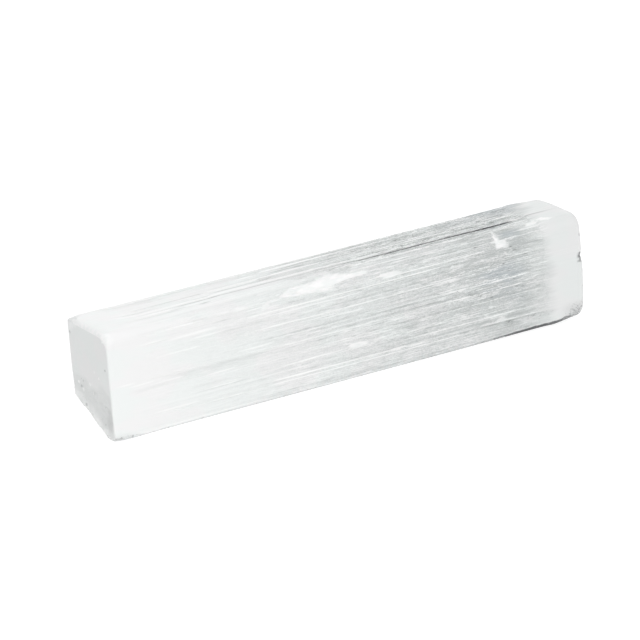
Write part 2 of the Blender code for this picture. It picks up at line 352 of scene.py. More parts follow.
SPLITS = lines(
    (39.8, 54, 74, 0.60, 0.35),
    (26.5, -22, -4, 1.50, 0.34),
    (26.0, 36, 64, 0.40, 0.9),
    (28.9, 36, 46, 0.40, 0.6),
    (24.0, 2, 40, 0.22, 0.5),
    (23.3, -43, -22, 0.90, 0.3),
    (22.8, -10, 27, 0.40, 0.5),
    (22.4, 36, 56, 0.50, 0.6),
    (20.4, 40, 52, 0.50, 0.7),
    (19.3, 8, 30, 0.26, 0.5),
    (18.8, 42, 51, 0.60, 1.0),
    (17.0, 6, 34, 0.28, 0.8),
    (17.9, -30, 0, 0.70, 0.4),
    (16.4, 36, 55, 0.70, 0.7),
    (15.6, -4, 30, 0.24, 0.6),
    (14.2, -58, -26, 3.00, 0.17),
    (12.9, -71, -54, 1.60, 0.11),
    (13.9, -20, 26, 0.50, 0.4),
    (12.8, 38, 53, 0.80, 0.8),
    (9.6, -52, -40, 1.20, 0.18),
    (8.1, -50, -30, 0.26, 0.4),
    (6.4, 47, 60, 0.50, 0.8),
    (5.0, 34.6, 36.8, 0.50, 1.0),
    (5.0, 40, 58, 0.34, 0.9),
    (4.4, -48, -32, 0.24, 0.3),
    (12.9, 58.6, 61.0, 0.50, 1.0),
    (12.2, -1, 1.4, 0.40, 0.9),
    (2.8, 22.0, 24.4, 0.36, 0.8),
    (26.4, -42, -38, 0.40, 0.6),
    (12.6, -36.8, -34.4, 0.40, 0.7),
    (13.8, -12, -9, 0.50, 0.6),
    (0.5, 31.4, 34.6, 0.80, 1.0),
    (37.4, -42.4, -39.4, 1.20, 0.8),
    (37.4, 34, 50, 0.90, 0.6),
    (35.8, 8, 26, 0.60, 0.3),
    (32.0, 48, 57, 3.00, 0.40),
    (43.4, -38, 0, 0.90, 0.5),
    (43.2, 0, 46, 0.80, 0.7),
    (42.6, 50, 58, 2.40, 0.5),
    (46.9, -18, 52, 0.90, 1.0),
    (48.3, -16, 34, 0.80, 0.8),
    (48.4, 36, 60, 0.80, 0.7),
    (50.6, -14, 46, 0.90, 0.8),
    (51.2, 46, 63, 1.80, 1.2),
    (40.9, 10, 56, 0.50, 0.5),
)


@dataclass(frozen=True)
class Speck:
    """A small mark on the broken end: a dark one is painted shade for a small pit or hollow, a white one is
    whitened with the bruised colour.

    Attributes:
        y: Where it is across the bar.
        z: How high it is.
        radius: Its size.
        dark: How dark it is, from 0 to 1, as painted shade, or below 0 for how white.
    """

    y: float
    z: float
    radius: float
    dark: float


# Each speck's place and radius in millimetres, then how dark it is; the dark ones are painted shade.
SPECKS = tuple(
    Speck(*metres(*row[:-1]), row[-1])
    for row in (
        (-9.2, 20.2, 0.40, 0.45),
        (10.2, 26.2, 0.40, 0.4),
        (6.2, 10.6, 0.60, -1.0),
        (1.0, 13.6, 0.50, -1.0),
        (8.0, 12.4, 0.55, -1.0),
        (-4.9, 16.8, 0.45, -0.8),
        (-2.5, 18.0, 0.45, -0.8),
        (0.6, 10.9, 0.40, -0.7),
        (5.2, 13.4, 0.40, 0.3),
        (7.0, 11.4, 0.50, 0.3),
        (-8.0, 4.6, 2.60, 0.12),
        (-8.4, 7.4, 2.00, 0.10),
        (5.0, 6.6, 0.60, 0.35),
        (4.0, 5.2, 0.50, -0.8),
        (6.4, 5.8, 0.45, 0.4),
        (1.4, 6.0, 2.00, -0.35),
        (9.6, 28.8, 2.20, -0.45),
        (7.0, 29.8, 1.60, -0.45),
    )
)


@dataclass(frozen=True)
class Scoop:
    """A hollow that is pressed towards the middle of the bar.

    Attributes:
        centre: Its middle, on the skin.
        radius: How far it reaches.
        depth: How deep it is in the middle.
    """

    centre: Vector
    radius: float
    depth: float


SCOOPS = tuple(
    Scoop(Vector(centre) * MM, radius * MM, depth * MM)
    for centre, radius, depth in (
        ((-75.0, -6.0, 5.6), 5.0, 0.95),
        ((-75.0, 0.2, 10.6), 3.2, 0.55),
        ((-75.0, 5.6, 10.2), 3.6, 0.40),
        ((-75.0, 3.2, 5.6), 3.0, 0.45),
        ((74.4, -10.9, 18.1), 1.5, 0.75),
        ((74.4, -11.2, 24.7), 0.45, 0.14),
        ((74.5, -11.1, 14.3), 0.50, 0.12),
        ((74.5, -11.1, 9.7), 0.40, 0.10),
    )
)


@dataclass(frozen=True)
class Chip:
    """A flat cut, past which nothing is left.

    Attributes:
        point: A point on the cut.
        normal: The way in which all is gone.
    """

    point: Vector
    normal: Vector


CHIPS = tuple(
    Chip(Vector(point) * MM, Vector(normal).normalized())
    for point, normal in (
        ((-75.0, -7.7, 0.0), (-0.80, 0.39, -0.92)),
        ((-69.0, 11.3, 3.4), (-0.20, 0.62, -0.70)),
        ((-75.0, 6.0, 30.0), (-0.62, 0.10, 0.78)),
        ((-75.0, -11.5, 1.7), (-0.55, -0.50, -0.67)),
    )
)


@dataclass
class SectionOutline:
    """The rounded rectangle that the bar is cut to."""

    depth: float = 23.0 * MM
    height: float = 30.6 * MM
    starts: np.ndarray = field(init=False)
    lengths: np.ndarray = field(init=False)

    def __post_init__(self) -> None:
        """Works out where each side starts on the way round."""
        half = self.depth / 2
        self.starts = np.cumsum([0.0, half, self.height, self.depth, self.height])
        self.lengths = np.array([half, self.height, self.depth, self.height, half])

    @property
    def girth(self) -> float:
        """The whole way round the sharp rectangle."""
        return float(self.lengths.sum())

    def start(self, side: Side) -> float:
        """Where a side starts on the way round."""
        return float(self.starts[side.value])

    def spots(self, x: np.ndarray, around: np.ndarray) -> Spots:
        """Places on the skin, from positions along the bar and distances round the section."""
        up = around - self.start(Side.FRONT)
        return Spots(x, around, up, up - self.height)

    def points(self, around: np.ndarray, radii: np.ndarray) -> tuple[np.ndarray, np.ndarray]:
        """Points and outward normals of the section.

        Args:
            around: Distances round the sharp rectangle from the middle of the base.
            radii: Corner radii, in the order front bottom, front top, back top, back bottom.

        Returns:
            The (y, z) points and the (y, z) normals.
        """
        half = self.depth / 2
        corners = np.array([(0, 0), (-half, 0), (-half, self.height), (half, self.height), (half, 0)])
        ways = np.array([(-1.0, 0), (0, 1), (1, 0), (0, -1), (-1, 0)])
        normals = np.array([(0, -1.0), (-1, 0), (0, 1), (1, 0), (0, -1)])
        side = np.clip(np.searchsorted(self.starts, around, side="right") - 1, 0, 4)
        along = around - self.starts[side]
        way, normal = ways[side], normals[side]
        point = corners[side] + way * along[:, None]
        first = np.concatenate([[0.0], radii])[side]
        last = np.concatenate([radii, [0.0]])[side]
        for radius, gone, sign in ((first, along, -1), (last, self.lengths[side] - along, 1)):
            near = (gone < radius) & (radius > 0)
            centre = point + way * (sign * (gone - radius))[:, None] - normal * radius[:, None]
            turn = np.where(near, sign * (1 - gone / np.where(near, radius, 1)) * math.pi / 4, 0.0)
            bent = normal * np.cos(turn)[:, None] + way * np.sin(turn)[:, None]
            point = np.where(near[:, None], centre + bent * radius[:, None], point)
            normal = np.where(near[:, None], bent, normal)
        return point, normal


@dataclass
class Ledges:
    """Lengthwise ribbons of fibres that have split away to different depths.

    Attributes:
        stations: The x positions at which the front ribbons' depths are given.
        front: A row for each front ribbon: the height that it reaches up to, then its depths.
        top: Where the top's ribbons end, from the front edge.
        back: Where the back's ribbons end, in height.
        base: Where the base's ribbons end, from the front face.
        steps: How many steps each of the other ribbons takes along the bar.
        step_reach: How far from the middle a step may lie, as a share of the bar.
        ragged: How far a bundle of fibres ends before or past a step.
    """

    outline: SectionOutline
    bar_length: float
    stations: np.ndarray = field(
        default_factory=lambda: np.array([-58.0, -36.0, -10.0, 14.0, 40.0, 62.0]) * MM
    )
    front: np.ndarray = field(
        default_factory=lambda: np.array(
            [
                (4.8, 0.10, 0.20, 0.16, 0.05, 0.12, 0.30),
                (5.7, 0.22, 0.36, 0.00, 0.00, 0.30, 0.15),
                (9.1, 0.30, 0.26, 0.34, 0.30, 0.20, 0.34),
                (12.6, 0.26, 0.46, 0.42, 0.20, 0.36, 0.22),
                (14.8, 0.40, 0.60, 0.26, 0.42, 0.55, 0.30),
                (15.5, 0.30, 0.20, 0.05, 0.00, 0.00, 0.24),
                (17.3, 0.12, 0.10, 0.34, 0.36, 0.28, 0.12),
                (18.0, 0.10, 0.16, 0.10, 0.04, 0.00, 0.30),
                (21.2, 0.05, 0.14, 0.30, 0.46, 0.40, 0.16),
                (23.2, 0.12, 0.40, 0.16, 0.22, 0.50, 0.30),
                (25.4, 0.20, 0.14, 0.24, 0.38, 0.24, 0.10),
                (28.0, 0.04, 0.20, 0.10, 0.14, 0.36, 0.26),
            ]
        )
        * MM
    )
    top: np.ndarray = field(default_factory=lambda: np.array([3.2, 6.1, 8.8, 12.0, 14.3, 17.2, 19.6]) * MM)
    back: np.ndarray = field(
        default_factory=lambda: np.array([3.6, 6.2, 8.9, 10.4, 14.0, 16.1, 19.4, 21.5, 24.8, 27.2]) * MM
    )
    base: np.ndarray = field(default_factory=lambda: np.array([4.4, 9.6, 13.0, 18.4]) * MM)
    deepest: float = 0.55 * MM
    base_deepest: float = 0.25 * MM
    steps: int = 4
    step_reach: float = 0.45
    step_lengths: Pair = metres(1.0, 4.0)
    smooth_length: float = 13.0 * MM
    rubbed_length: float = 12.0 * MM
    rubbed_fade: float = 2.0 * MM
    ragged: float = 3.2 * MM
    bundle_pitch: float = 0.42 * MM
    wander_by: float = 0.5 * MM
    seed: int = 11

    def __post_init__(self) -> None:
        """Puts the splits in order round the section and draws the ribbons' profiles."""
        whole, half = self.outline.depth, self.outline.depth / 2
        front_half = self.base < half
        runs = (
            half - self.base[front_half],
            self.outline.start(Side.FRONT) + self.front[:, 0],
            self.outline.start(Side.TOP) + self.top,
            self.outline.start(Side.BACK) + self.outline.height - self.back,
            self.outline.start(Side.BASE_BACK) + whole - self.base[~front_half],
        )
        self.splits = np.sort(np.concatenate(runs))
        self.profiles = self._profiles()
        self.wander = Drift(30 * MM, 2.4 * MM, self.seed + 2)

    def _profiles(self) -> list[tuple[np.ndarray, np.ndarray]]:
        """The ribbons' profiles: random ones, but for the front's, and none at the back top edge.

        Returns:
            For each ribbon, the x positions and depths of the points along it.
        """
        rng = np.random.default_rng(self.seed)
        front_start, base_back = self.outline.start(Side.FRONT), self.outline.start(Side.BASE_BACK)
        profiles = []
        for place in np.append(self.splits, base_back + self.outline.depth / 2):
            breaks = np.sort(rng.uniform(-self.step_reach, self.step_reach, self.steps)) * self.bar_length
            lengths = rng.uniform(*self.step_lengths, self.steps)
            depths = rng.uniform(0.0, 1.0, self.steps + 1)
            places = np.column_stack([breaks - lengths / 2, breaks + lengths / 2]).ravel()
            most = self.base_deepest if place < front_start or place > base_back else self.deepest
            profiles.append((places, np.repeat(depths, 2)[1:-1] * most))
        back_edge = int(np.searchsorted(self.splits, self.outline.start(Side.BACK)))
        profiles[back_edge] = (self.stations, np.zeros(len(self.stations)))
        first = int(np.searchsorted(self.splits, front_start))
        for index, ribbon in enumerate(self.front):
            profiles[first + index] = (self.stations, ribbon[1:])
        return profiles

    def depth(self, at: Spots) -> np.ndarray:
        """How far the ribbons lie below the bar's outline.

        Args:
            at: Places on the skin.

        Returns:
            Depths in metres. Each bundle of fibres ends its steps at a place of its own.
        """
        rng = np.random.default_rng(self.seed + 1)
        shifts = rng.uniform(-1, 1, int(self.outline.girth / self.bundle_pitch) + 2) * self.ragged
        moved = at.around + self.wander.sway(at.x, at.around) * self.wander_by
        place = np.clip(moved, 0, self.outline.girth - 1e-9)
        ribbon = np.searchsorted(self.splits, place)
        ragged_x = at.x + shifts[(place / self.bundle_pitch).astype(int)]
        depth = np.zeros_like(at.x)
        for index, (places, depths) in enumerate(self.profiles):
            mine = ribbon == index
            depth[mine] = np.interp(ragged_x[mine], places, depths)
        depth[self._kept_base(at.around)] = 0.0
        end = self.bar_length / 2
        rubbed = end - self.rubbed_length
        fade_in = rise(at.x, -end + self.smooth_length / 4, -end + self.smooth_length)
        return depth * fade_in * fall(at.x, rubbed - self.rubbed_fade, rubbed)

    def _kept_base(self, around: np.ndarray) -> np.ndarray:
        """The base's ribbons that stay whole, so that the bar stands flat.

        Args:
            around: Distances round the section.

        Returns:
            Whether each place is on one of them.
        """
        front, base_back = self.outline.start(Side.FRONT), self.outline.start(Side.BASE_BACK)
        on_base = (around < front) | (around > base_back)
        half = self.outline.depth / 2
        behind = np.where(around < front, half - around, base_back + self.outline.depth - around)
        return on_base & (np.searchsorted(self.base, behind) % 2 == 0)


@dataclass(frozen=True)
class OpenCrack:
    """The open crack on the top, and the strip in front of it that has dropped.

    Attributes:
        behind_front: How far behind the front edge it runs.
        opens: How far before and past its start it opens.
        closes: How far before its end it closes.
        steep: How steep its sides are: above 1 it has a flat floor.
        narrow: Its width and strength before it widens, as shares.
        shade: Where the painted shade of its floor begins and where it is full, as shares of its width.
        hair: How strongly a thin crack shows past both ends of the open one.
        hair_fades: Where the thin crack fades in at -X and out at +X.
    """

    behind_front: float = 9.7 * MM
    reach: Pair = metres(2, 60)
    opens: Pair = metres(6, 16)
    closes: float = 5 * MM
    depth: float = 0.7 * MM
    width: float = 0.46 * MM
    steep: float = 1.3
    narrow: Pair = (0.7, 0.8)
    shade: Pair = (1.05, 0.8)
    widens: Pair = metres(32, 40)
    wave: Drift = Drift(9 * MM, 1.0, 41)
    wave_by: float = 0.25 * MM
    strip_width: float = 2.7 * MM
    strip_edge: float = 0.2 * MM
    strip_drop: float = 0.18 * MM
    hair: float = 0.42
    hair_fades: tuple[Pair, Pair] = (metres(-66, -44), metres(64, 74))
    back_lip: float = 0.16 * MM

    def cut(self, at: Spots) -> tuple[np.ndarray, np.ndarray]:
        """The crack at each place.

        Args:
            at: Places on the skin.

        Returns:
            The depth, and how much of the crack is there, from 0 to 1, which the skin paints dark as painted
            shade.
        """
        behind = at.top - self.behind_front + self.wave.sway(at.x, at.around) * self.wave_by
        start, end = self.reach
        opened = rise(at.x, start - self.opens[0], start + self.opens[1]) * fall(at.x, end - self.closes, end)
        wide = rise(at.x, *self.widens)
        slim = at_least(self.narrow[0], wide)
        width = self.width * slim
        groove = np.clip(self.steep * (1 - np.abs(behind + width / 2) / (width / 2)), 0, 1)
        strip = rise(behind, -self.strip_width - self.strip_edge, -self.strip_width) * (behind < -width / 2)
        depth = np.maximum(groove * self.depth, strip * self.strip_drop * slim)
        faint, full = self.shade
        # Painted shade on the open crack's floor, carried on as a thin dark line past its ends.
        shown = rise(behind, -width * faint, -width * full) * fall(behind, 0.0, self.back_lip)
        hair = self.hair * rise(at.x, *self.hair_fades[0]) * fall(at.x, *self.hair_fades[1])
        return depth * opened, shown * np.maximum(opened * at_least(self.narrow[1], wide), hair)


@dataclass
class Stone:
    """How milky, clear and lively the stone is from place to place.

    A pair of lengths is where a change begins and where it is complete, or a middle and a width where its
    name ends in "along" or "up". Those that hold "top" are counted from the front's top edge.
    """

    fibrous_reach: Pair = metres(-70, 65)
    fibrous_fades: Pair = metres(12, 4)
    lively_from: Pair = metres(-70, 52)
    least_lively: float = 0.05
    calmer: Pair = metres(54, 62)
    calmer_by: float = 0.5
    zone_along: Pair = metres(46, 30)
    zone_up: Pair = metres(18, 22)
    plain_from: Pair = metres(10, 40)
    plain_below: Pair = metres(6, 11)
    top_grain: Pair = metres(4, 8)
    top_grain_from: Pair = metres(-20, 30)
    grain_by: Triple = (1.6, 0.7, -0.25)
    milk_ends: tuple[Pair, Pair] = (metres(-70, -48), metres(59.5, 65.5))
    feathers: Drift = Drift(7 * MM, 0.5 * MM, 71)
    feather_by: Pair = metres(6, 2.4)
    bays: Drift = Drift(9 * MM, 3.5 * MM, 73)
    bay_by: float = 3.5 * MM
    back_milk: Pair = metres(21, 25)
    back_raggedness: float = 1.6
    back_sooner: float = 5 * MM
    later_top: tuple[Triple, ...] = (metres(9, 15, 3.5), metres(17, 21, 3.0))
    clear_from: float = -72 * MM
    clear_over: float = 125 * MM
    clear_power: float = 1.4
    clear_most: float = 0.83
    bands: Drift = Drift(26 * MM, 2.6 * MM, 81)
    clouds: Drift = Drift(4.5 * MM, 1.1 * MM, 83)
    pocket_along: Pair = metres(52, 11)
    pocket_up: Pair = metres(31.5, 7)
    top_rear: Pair = metres(13, 17)
    rear_from: Pair = metres(10, 30)
    top_strip_up: Pair = metres(5, 8)
    strip_from: Pair = metres(36, 52)
    before_tip: Pair = metres(55, 59)
    edge_above: Pair = metres(31, 35)
    tip_clear: float = 0.28
    tip_clouds: float = 0.35
    end_pattern: Drift = Drift(0.7, 0.7, 91)
    end_rim: float = 0.2
    end_clear: float = 0.195

    def body(self, x: np.ndarray) -> np.ndarray:
        """1 along the fibrous body and 0 at the smooth ends."""
        (low, high), (begin, end) = self.fibrous_reach, self.fibrous_fades
        return rise(x, low, low + begin) * fall(x, high - end, high)

    def lively(self, x: np.ndarray) -> np.ndarray:
        """How strongly the fibres show along the bar: hardly at the milky ends, most near +X."""
        near_tip = 1 - self.calmer_by * rise(x, *self.calmer)
        return self.body(x) * at_least(self.least_lively, rise(x, *self.lively_from)) * near_tip

    def _zone(self, at: Spots) -> np.ndarray:
        """1 in the middle of the clearest, most crackled part of the front, which is near +X."""
        return bell(at.x, *self.zone_along) * bell(at.up, *self.zone_up)

    def _plain(self, at: Spots) -> np.ndarray:
        """1 on the plainer foot of the front towards +X."""
        return rise(at.x, *self.plain_from) * fall(at.up, *self.plain_below)

    def grain(self, at: Spots) -> np.ndarray:
        """How strongly the fibres and the grain show at each place: more on the top and in the zone.

        Args:
            at: Places on the skin.

        Returns:
            Values from 0 upwards, about 1 where the front is liveliest.
        """
        on_top = rise(at.top, *self.top_grain) * rise(at.x, *self.top_grain_from)
        more, zone, plain = self.grain_by
        return self.lively(at.x) * (1 + more * on_top + zone * self._zone(at) + plain * self._plain(at))

    def milk(self, at: Spots) -> np.ndarray:
        """How milky the stone is: fully at both ends, with feathered fibre ends between.

        Args:
            at: Places on the skin.

        Returns:
            Values from 0 to 1. The milk at +X begins later towards the back of the top, and more
            raggedly on the back.
        """
        feather = self.feathers.sway(at.x, at.around)
        bay = self.bays.sway(at.x, at.around) * self.bay_by
        left = fall(at.x + feather * self.feather_by[0], *self.milk_ends[0])
        unseen = rise(at.top, *self.back_milk)
        later = sum(by * rise(at.top, start, end) for start, end, by in self.later_top)
        ragged = (feather * self.feather_by[1] + bay) * (1 + self.back_raggedness * unseen)
        right = rise(at.x + ragged - later + self.back_sooner * unseen, *self.milk_ends[1])
        return np.maximum(left, right)

    def clear(self, at: Spots) -> np.ndarray:
        """How clear the stone is: more towards +X, most in a zone before the rubbed end.

        Args:
            at: Places on the skin.

        Returns:
            Values from 0 to 1.
        """
        zone, rear = self._zone(at), rise(at.top, *self.top_rear)
        # How much each part of the stone adds to its clearness, or takes from it.
        parts = (
            (0.16, zone),
            (0.25, bell(at.x, *self.pocket_along) * bell(at.up, *self.pocket_up)),
            (-0.09, self._plain(at)),
            (-0.20, rise(at.x, *self.before_tip) * (1 - rear)),
            (0.06, rise(at.up, *self.edge_above)),
            (0.07, rear * rise(at.x, *self.rear_from)),
            (-0.18, bell(at.top, *self.top_strip_up) * rise(at.x, *self.strip_from)),
            (0.10, self.bands.sway(at.x, at.around) * self.lively(at.x)),
            (0.50, self.clouds.sway(at.x, at.around) * zone),
        )
        along = np.clip((at.x - self.clear_from) / self.clear_over, 0, 1) ** self.clear_power
        level = along * self.clear_most + sum(by * part for by, part in parts)
        tip = self.milk(at) * (at.x > 0)
        return level * (1 - tip) + self.tip_clear * tip

    def clear_ends(self, station: np.ndarray, share: np.ndarray, turn: np.ndarray) -> np.ndarray:
        """How clear the two end faces are.

        Args:
            station: Which end the ring is at, by its sign.
            share: The ring's share of the outline.
            turn: How far each place is round the section, as an angle.

        Returns:
            One value over the broken end, and faint clouds over the rubbed end.
        """
        clouds = self.end_pattern.sway(share * np.cos(turn), share * np.sin(turn))
        rubbed = self.tip_clear + self.tip_clouds * clouds * rise(1 - share, 0.0, self.end_rim)
        return np.where(station < 0, self.end_clear, rubbed)


@dataclass
class LowerEdgeShade:
    """Painted shade along the lower front edge, where it turns under towards the table: a thin dark line, a
    band that widens towards +X, a patch at the foot of the rubbed end and a patch on the corner at -X.

    A pair of lengths is where a change begins and where it is complete, or a middle and a width where its
    name ends in "along" or "up". The band and the corner patch are full below these shares of their heights.
    """

    mottle: Drift = Drift(1.0 * MM, 0.5 * MM, 85)
    mottle_by: float = 0.5 * MM
    shade_widens_from: Pair = metres(34, 56)
    widest_from: Pair = metres(56, 68)
    heights: Triple = metres(0.4, 0.7, 0.8)
    full_below: Pair = (0.5, 0.3)
    least_dark: float = 0.24
    tip_from: Pair = metres(65, 73)
    tip_paler: float = 0.4
    patch_below: Pair = metres(3.4, 6.4)
    patch_foot: Pair = metres(0, 3)
    patch_dark: Pair = (0.39, 0.20)
    clumps: Drift = Drift(3.2 * MM, 1.6 * MM, 87)
    clump_levels: Pair = (0.45, 0.75)
    clumped_along: Pair = metres(53, 30)
    clumped_up: Pair = metres(4.8, 5.6)
    clumped_dark: float = 0.42
    turned_under: Pair = metres(-3.6, -2.4)
    corner_from: Pair = metres(63, 74)
    corner_height: float = 2.6 * MM
    corner_edge: float = 0.2 * MM
    corner_dark: float = 0.34

    def dark(self, at: Spots) -> np.ndarray:
        """How dark the painted shade along the edge is.

        Args:
            at: Places on the skin.

        Returns:
            Values from 0 to 1.
        """
        height = at.up + self.mottle.sway(at.x, at.around) * self.mottle_by
        shade_widens, tip = rise(at.x, *self.shade_widens_from), rise(at.x, *self.tip_from)
        thin, wider, widest = self.heights
        reach = thin + wider * shade_widens + widest * rise(at.x, *self.widest_from)
        band = fall(height, reach * self.full_below[0], reach) * at_least(self.least_dark, shade_widens)
        level, more = self.patch_dark
        patch = tip * fall(at.up, *self.patch_below) * (level + more * fall(at.up, *self.patch_foot))
        clumps = rise(self.clumps.share(at.x, at.around), *self.clump_levels)
        # Painted shade in dark clumps over a strip near the foot of the front towards +X.
        clumped_shade = self.clumped_dark * bell(at.x, *self.clumped_along) * bell(at.up, *self.clumped_up) * clumps
        edge = np.maximum(np.maximum(band * (1 - self.tip_paler * tip), patch), clumped_shade)
        edge = edge * rise(at.up, *self.turned_under)
        corner = self.corner_height * rise(-at.x, *self.corner_from)
        # Painted shade on the lower corner at -X.
        corner_shade = fall(height, corner * self.full_below[1], corner + self.corner_edge)
        corner_shade = corner_shade * (at.x < -self.corner_from[0])
        return np.maximum(edge, corner_shade * self.corner_dark)


@dataclass
class Hairlines:
    """The hairlines of the skin: those drawn one by one, and short loose ones at random places. The raised
    ones are also painted with a highlight, and the splits with shade.

    Attributes:
        seeds: For each kind, picks where its loose lines are and how all waver and break.
        waves: How long a waver lasts along a line, and how far across it.
        gaps: The same for the places where it breaks.
        loose_count: How many loose ones there are of each kind.
        loose_middles: Between which places along the bar their middles lie.
        loose_lean: A power below 1, which puts more of them towards +X.
        loose_halves: Half the shortest and half the longest length.
        top_wider: How much wider they are on the top.
        fade: The longest that a line takes to fade in or out.
        break_levels: Where on its own pattern a line begins to show, and shows fully.
        least: How strongly a drawn and a loose line still show where they break.
        least_loose: How strongly loose lines still show where the fibres hardly do.
        wider: How much wider a drawn and a loose line are shown.
    """

    outline: SectionOutline
    stone: Stone
    crests: tuple[Line, ...] = CRESTS
    splits: tuple[Line, ...] = SPLITS
    seeds: tuple[int, int] = (61, 65)
    waves: Pair = metres(24, 4)
    gaps: Pair = metres(2.2, 0.6)
    loose_count: int = 200
    loose_middles: Pair = metres(-68, 64)
    loose_lean: float = 0.75
    loose_halves: Pair = metres(8, 36)
    loose_widths: Pair = metres(0.22, 0.34)
    top_wider: float = 2.2
    loose_strengths: Pair = (0.1, 0.5)
    fade: float = 5 * MM
    wave_by: float = 0.25 * MM
    break_levels: Pair = (0.15, 0.6)
    least: Pair = (0.40, 0.15)
    least_loose: float = 0.08
    wider: Pair = (1.15, 1.3)

    def crested(self, at: Spots) -> np.ndarray:
        """How much of a raised hairline runs through each point, from 0 to 1."""
        return self._both(at, self.crests, self.seeds[0])

    def split(self, at: Spots) -> np.ndarray:
        """How much of a split hairline runs through each point, from 0 to 1."""
        return self._both(at, self.splits, self.seeds[1])

    def _both(self, at: Spots, drawn: tuple[Line, ...], seed: int) -> np.ndarray:
        """The drawn and the loose lines of one kind together."""
        firm = self._shown(at, drawn, seed + 2, False)
        return np.maximum(firm, self._shown(at, self._scatter(seed), seed + 3, True))

    def _scatter(self, seed: int) -> tuple[Line, ...]:
        """Short hairlines at random places all round the bar, more of them towards +X.

        Args:
            seed: Picks the places.

        Returns:
            The lines.
        """
        rng = np.random.default_rng(seed)
        front, height = self.outline.start(Side.FRONT), self.outline.height
        first, last = self.loose_middles
        scattered = []
        for _ in range(self.loose_count):
            middle = rng.random() ** self.loose_lean * (last - first) + first
            half = rng.uniform(*self.loose_halves)
            up = rng.random() * self.outline.girth - front
            on_top = height < up < height + self.outline.depth
            width = rng.uniform(*self.loose_widths) * (self.top_wider if on_top else 1)
            strength = rng.uniform(*self.loose_strengths)
            scattered.append(Line(up, middle - half, middle + half, width, strength))
        return tuple(scattered)

    def _shown(self, at: Spots, drawn: tuple[Line, ...], seed: int, loose: bool) -> np.ndarray:
        """How much of a line runs through each point.

        Args:
            at: Places on the skin.
            drawn: The lines.
            seed: Picks how they waver and break.
            loose: Whether they show only as strongly as the fibres do.

        Returns:
            Values from 0 to 1.
        """
        wavy = at.up + Drift(*self.waves, seed).sway(at.x, at.around) * self.wave_by
        breaks = rise(Drift(*self.gaps, seed + 1).share(at.x, at.around), *self.break_levels)
        strong = at_least(self.least[loose], breaks)
        if loose:
            strong = strong * at_least(self.least_loose, self.stone.lively(at.x))
        shown = np.zeros_like(at.x)
        for line in drawn:
            fade = min(self.fade, (line.end - line.start) / 3)
            ends = rise(at.x, line.start, line.start + fade) * fall(at.x, line.end - fade, line.end)
            there = bell(wavy, line.up, line.width * self.wider[loose]) * ends * line.strength
            shown = np.maximum(shown, there * strong)
        return np.minimum(shown, 1.0)


@dataclass
class EndPoint:
    """One point of the skin near an end, while that end is broken.

    Attributes:
        place: Where it is.
        dark: How dark it is painted, from 0 to 1: painted shade in the crack, the pits and the dark specks.
        white: How white it is, from 0 to 1: bruised, and painted light on the broken end's lip and on the
            first chip's rim.
        rough: How rough it is broken, from 0 to 1.
    """

    place: Vector
    dark: float
    white: float
    rough: float = 0.0


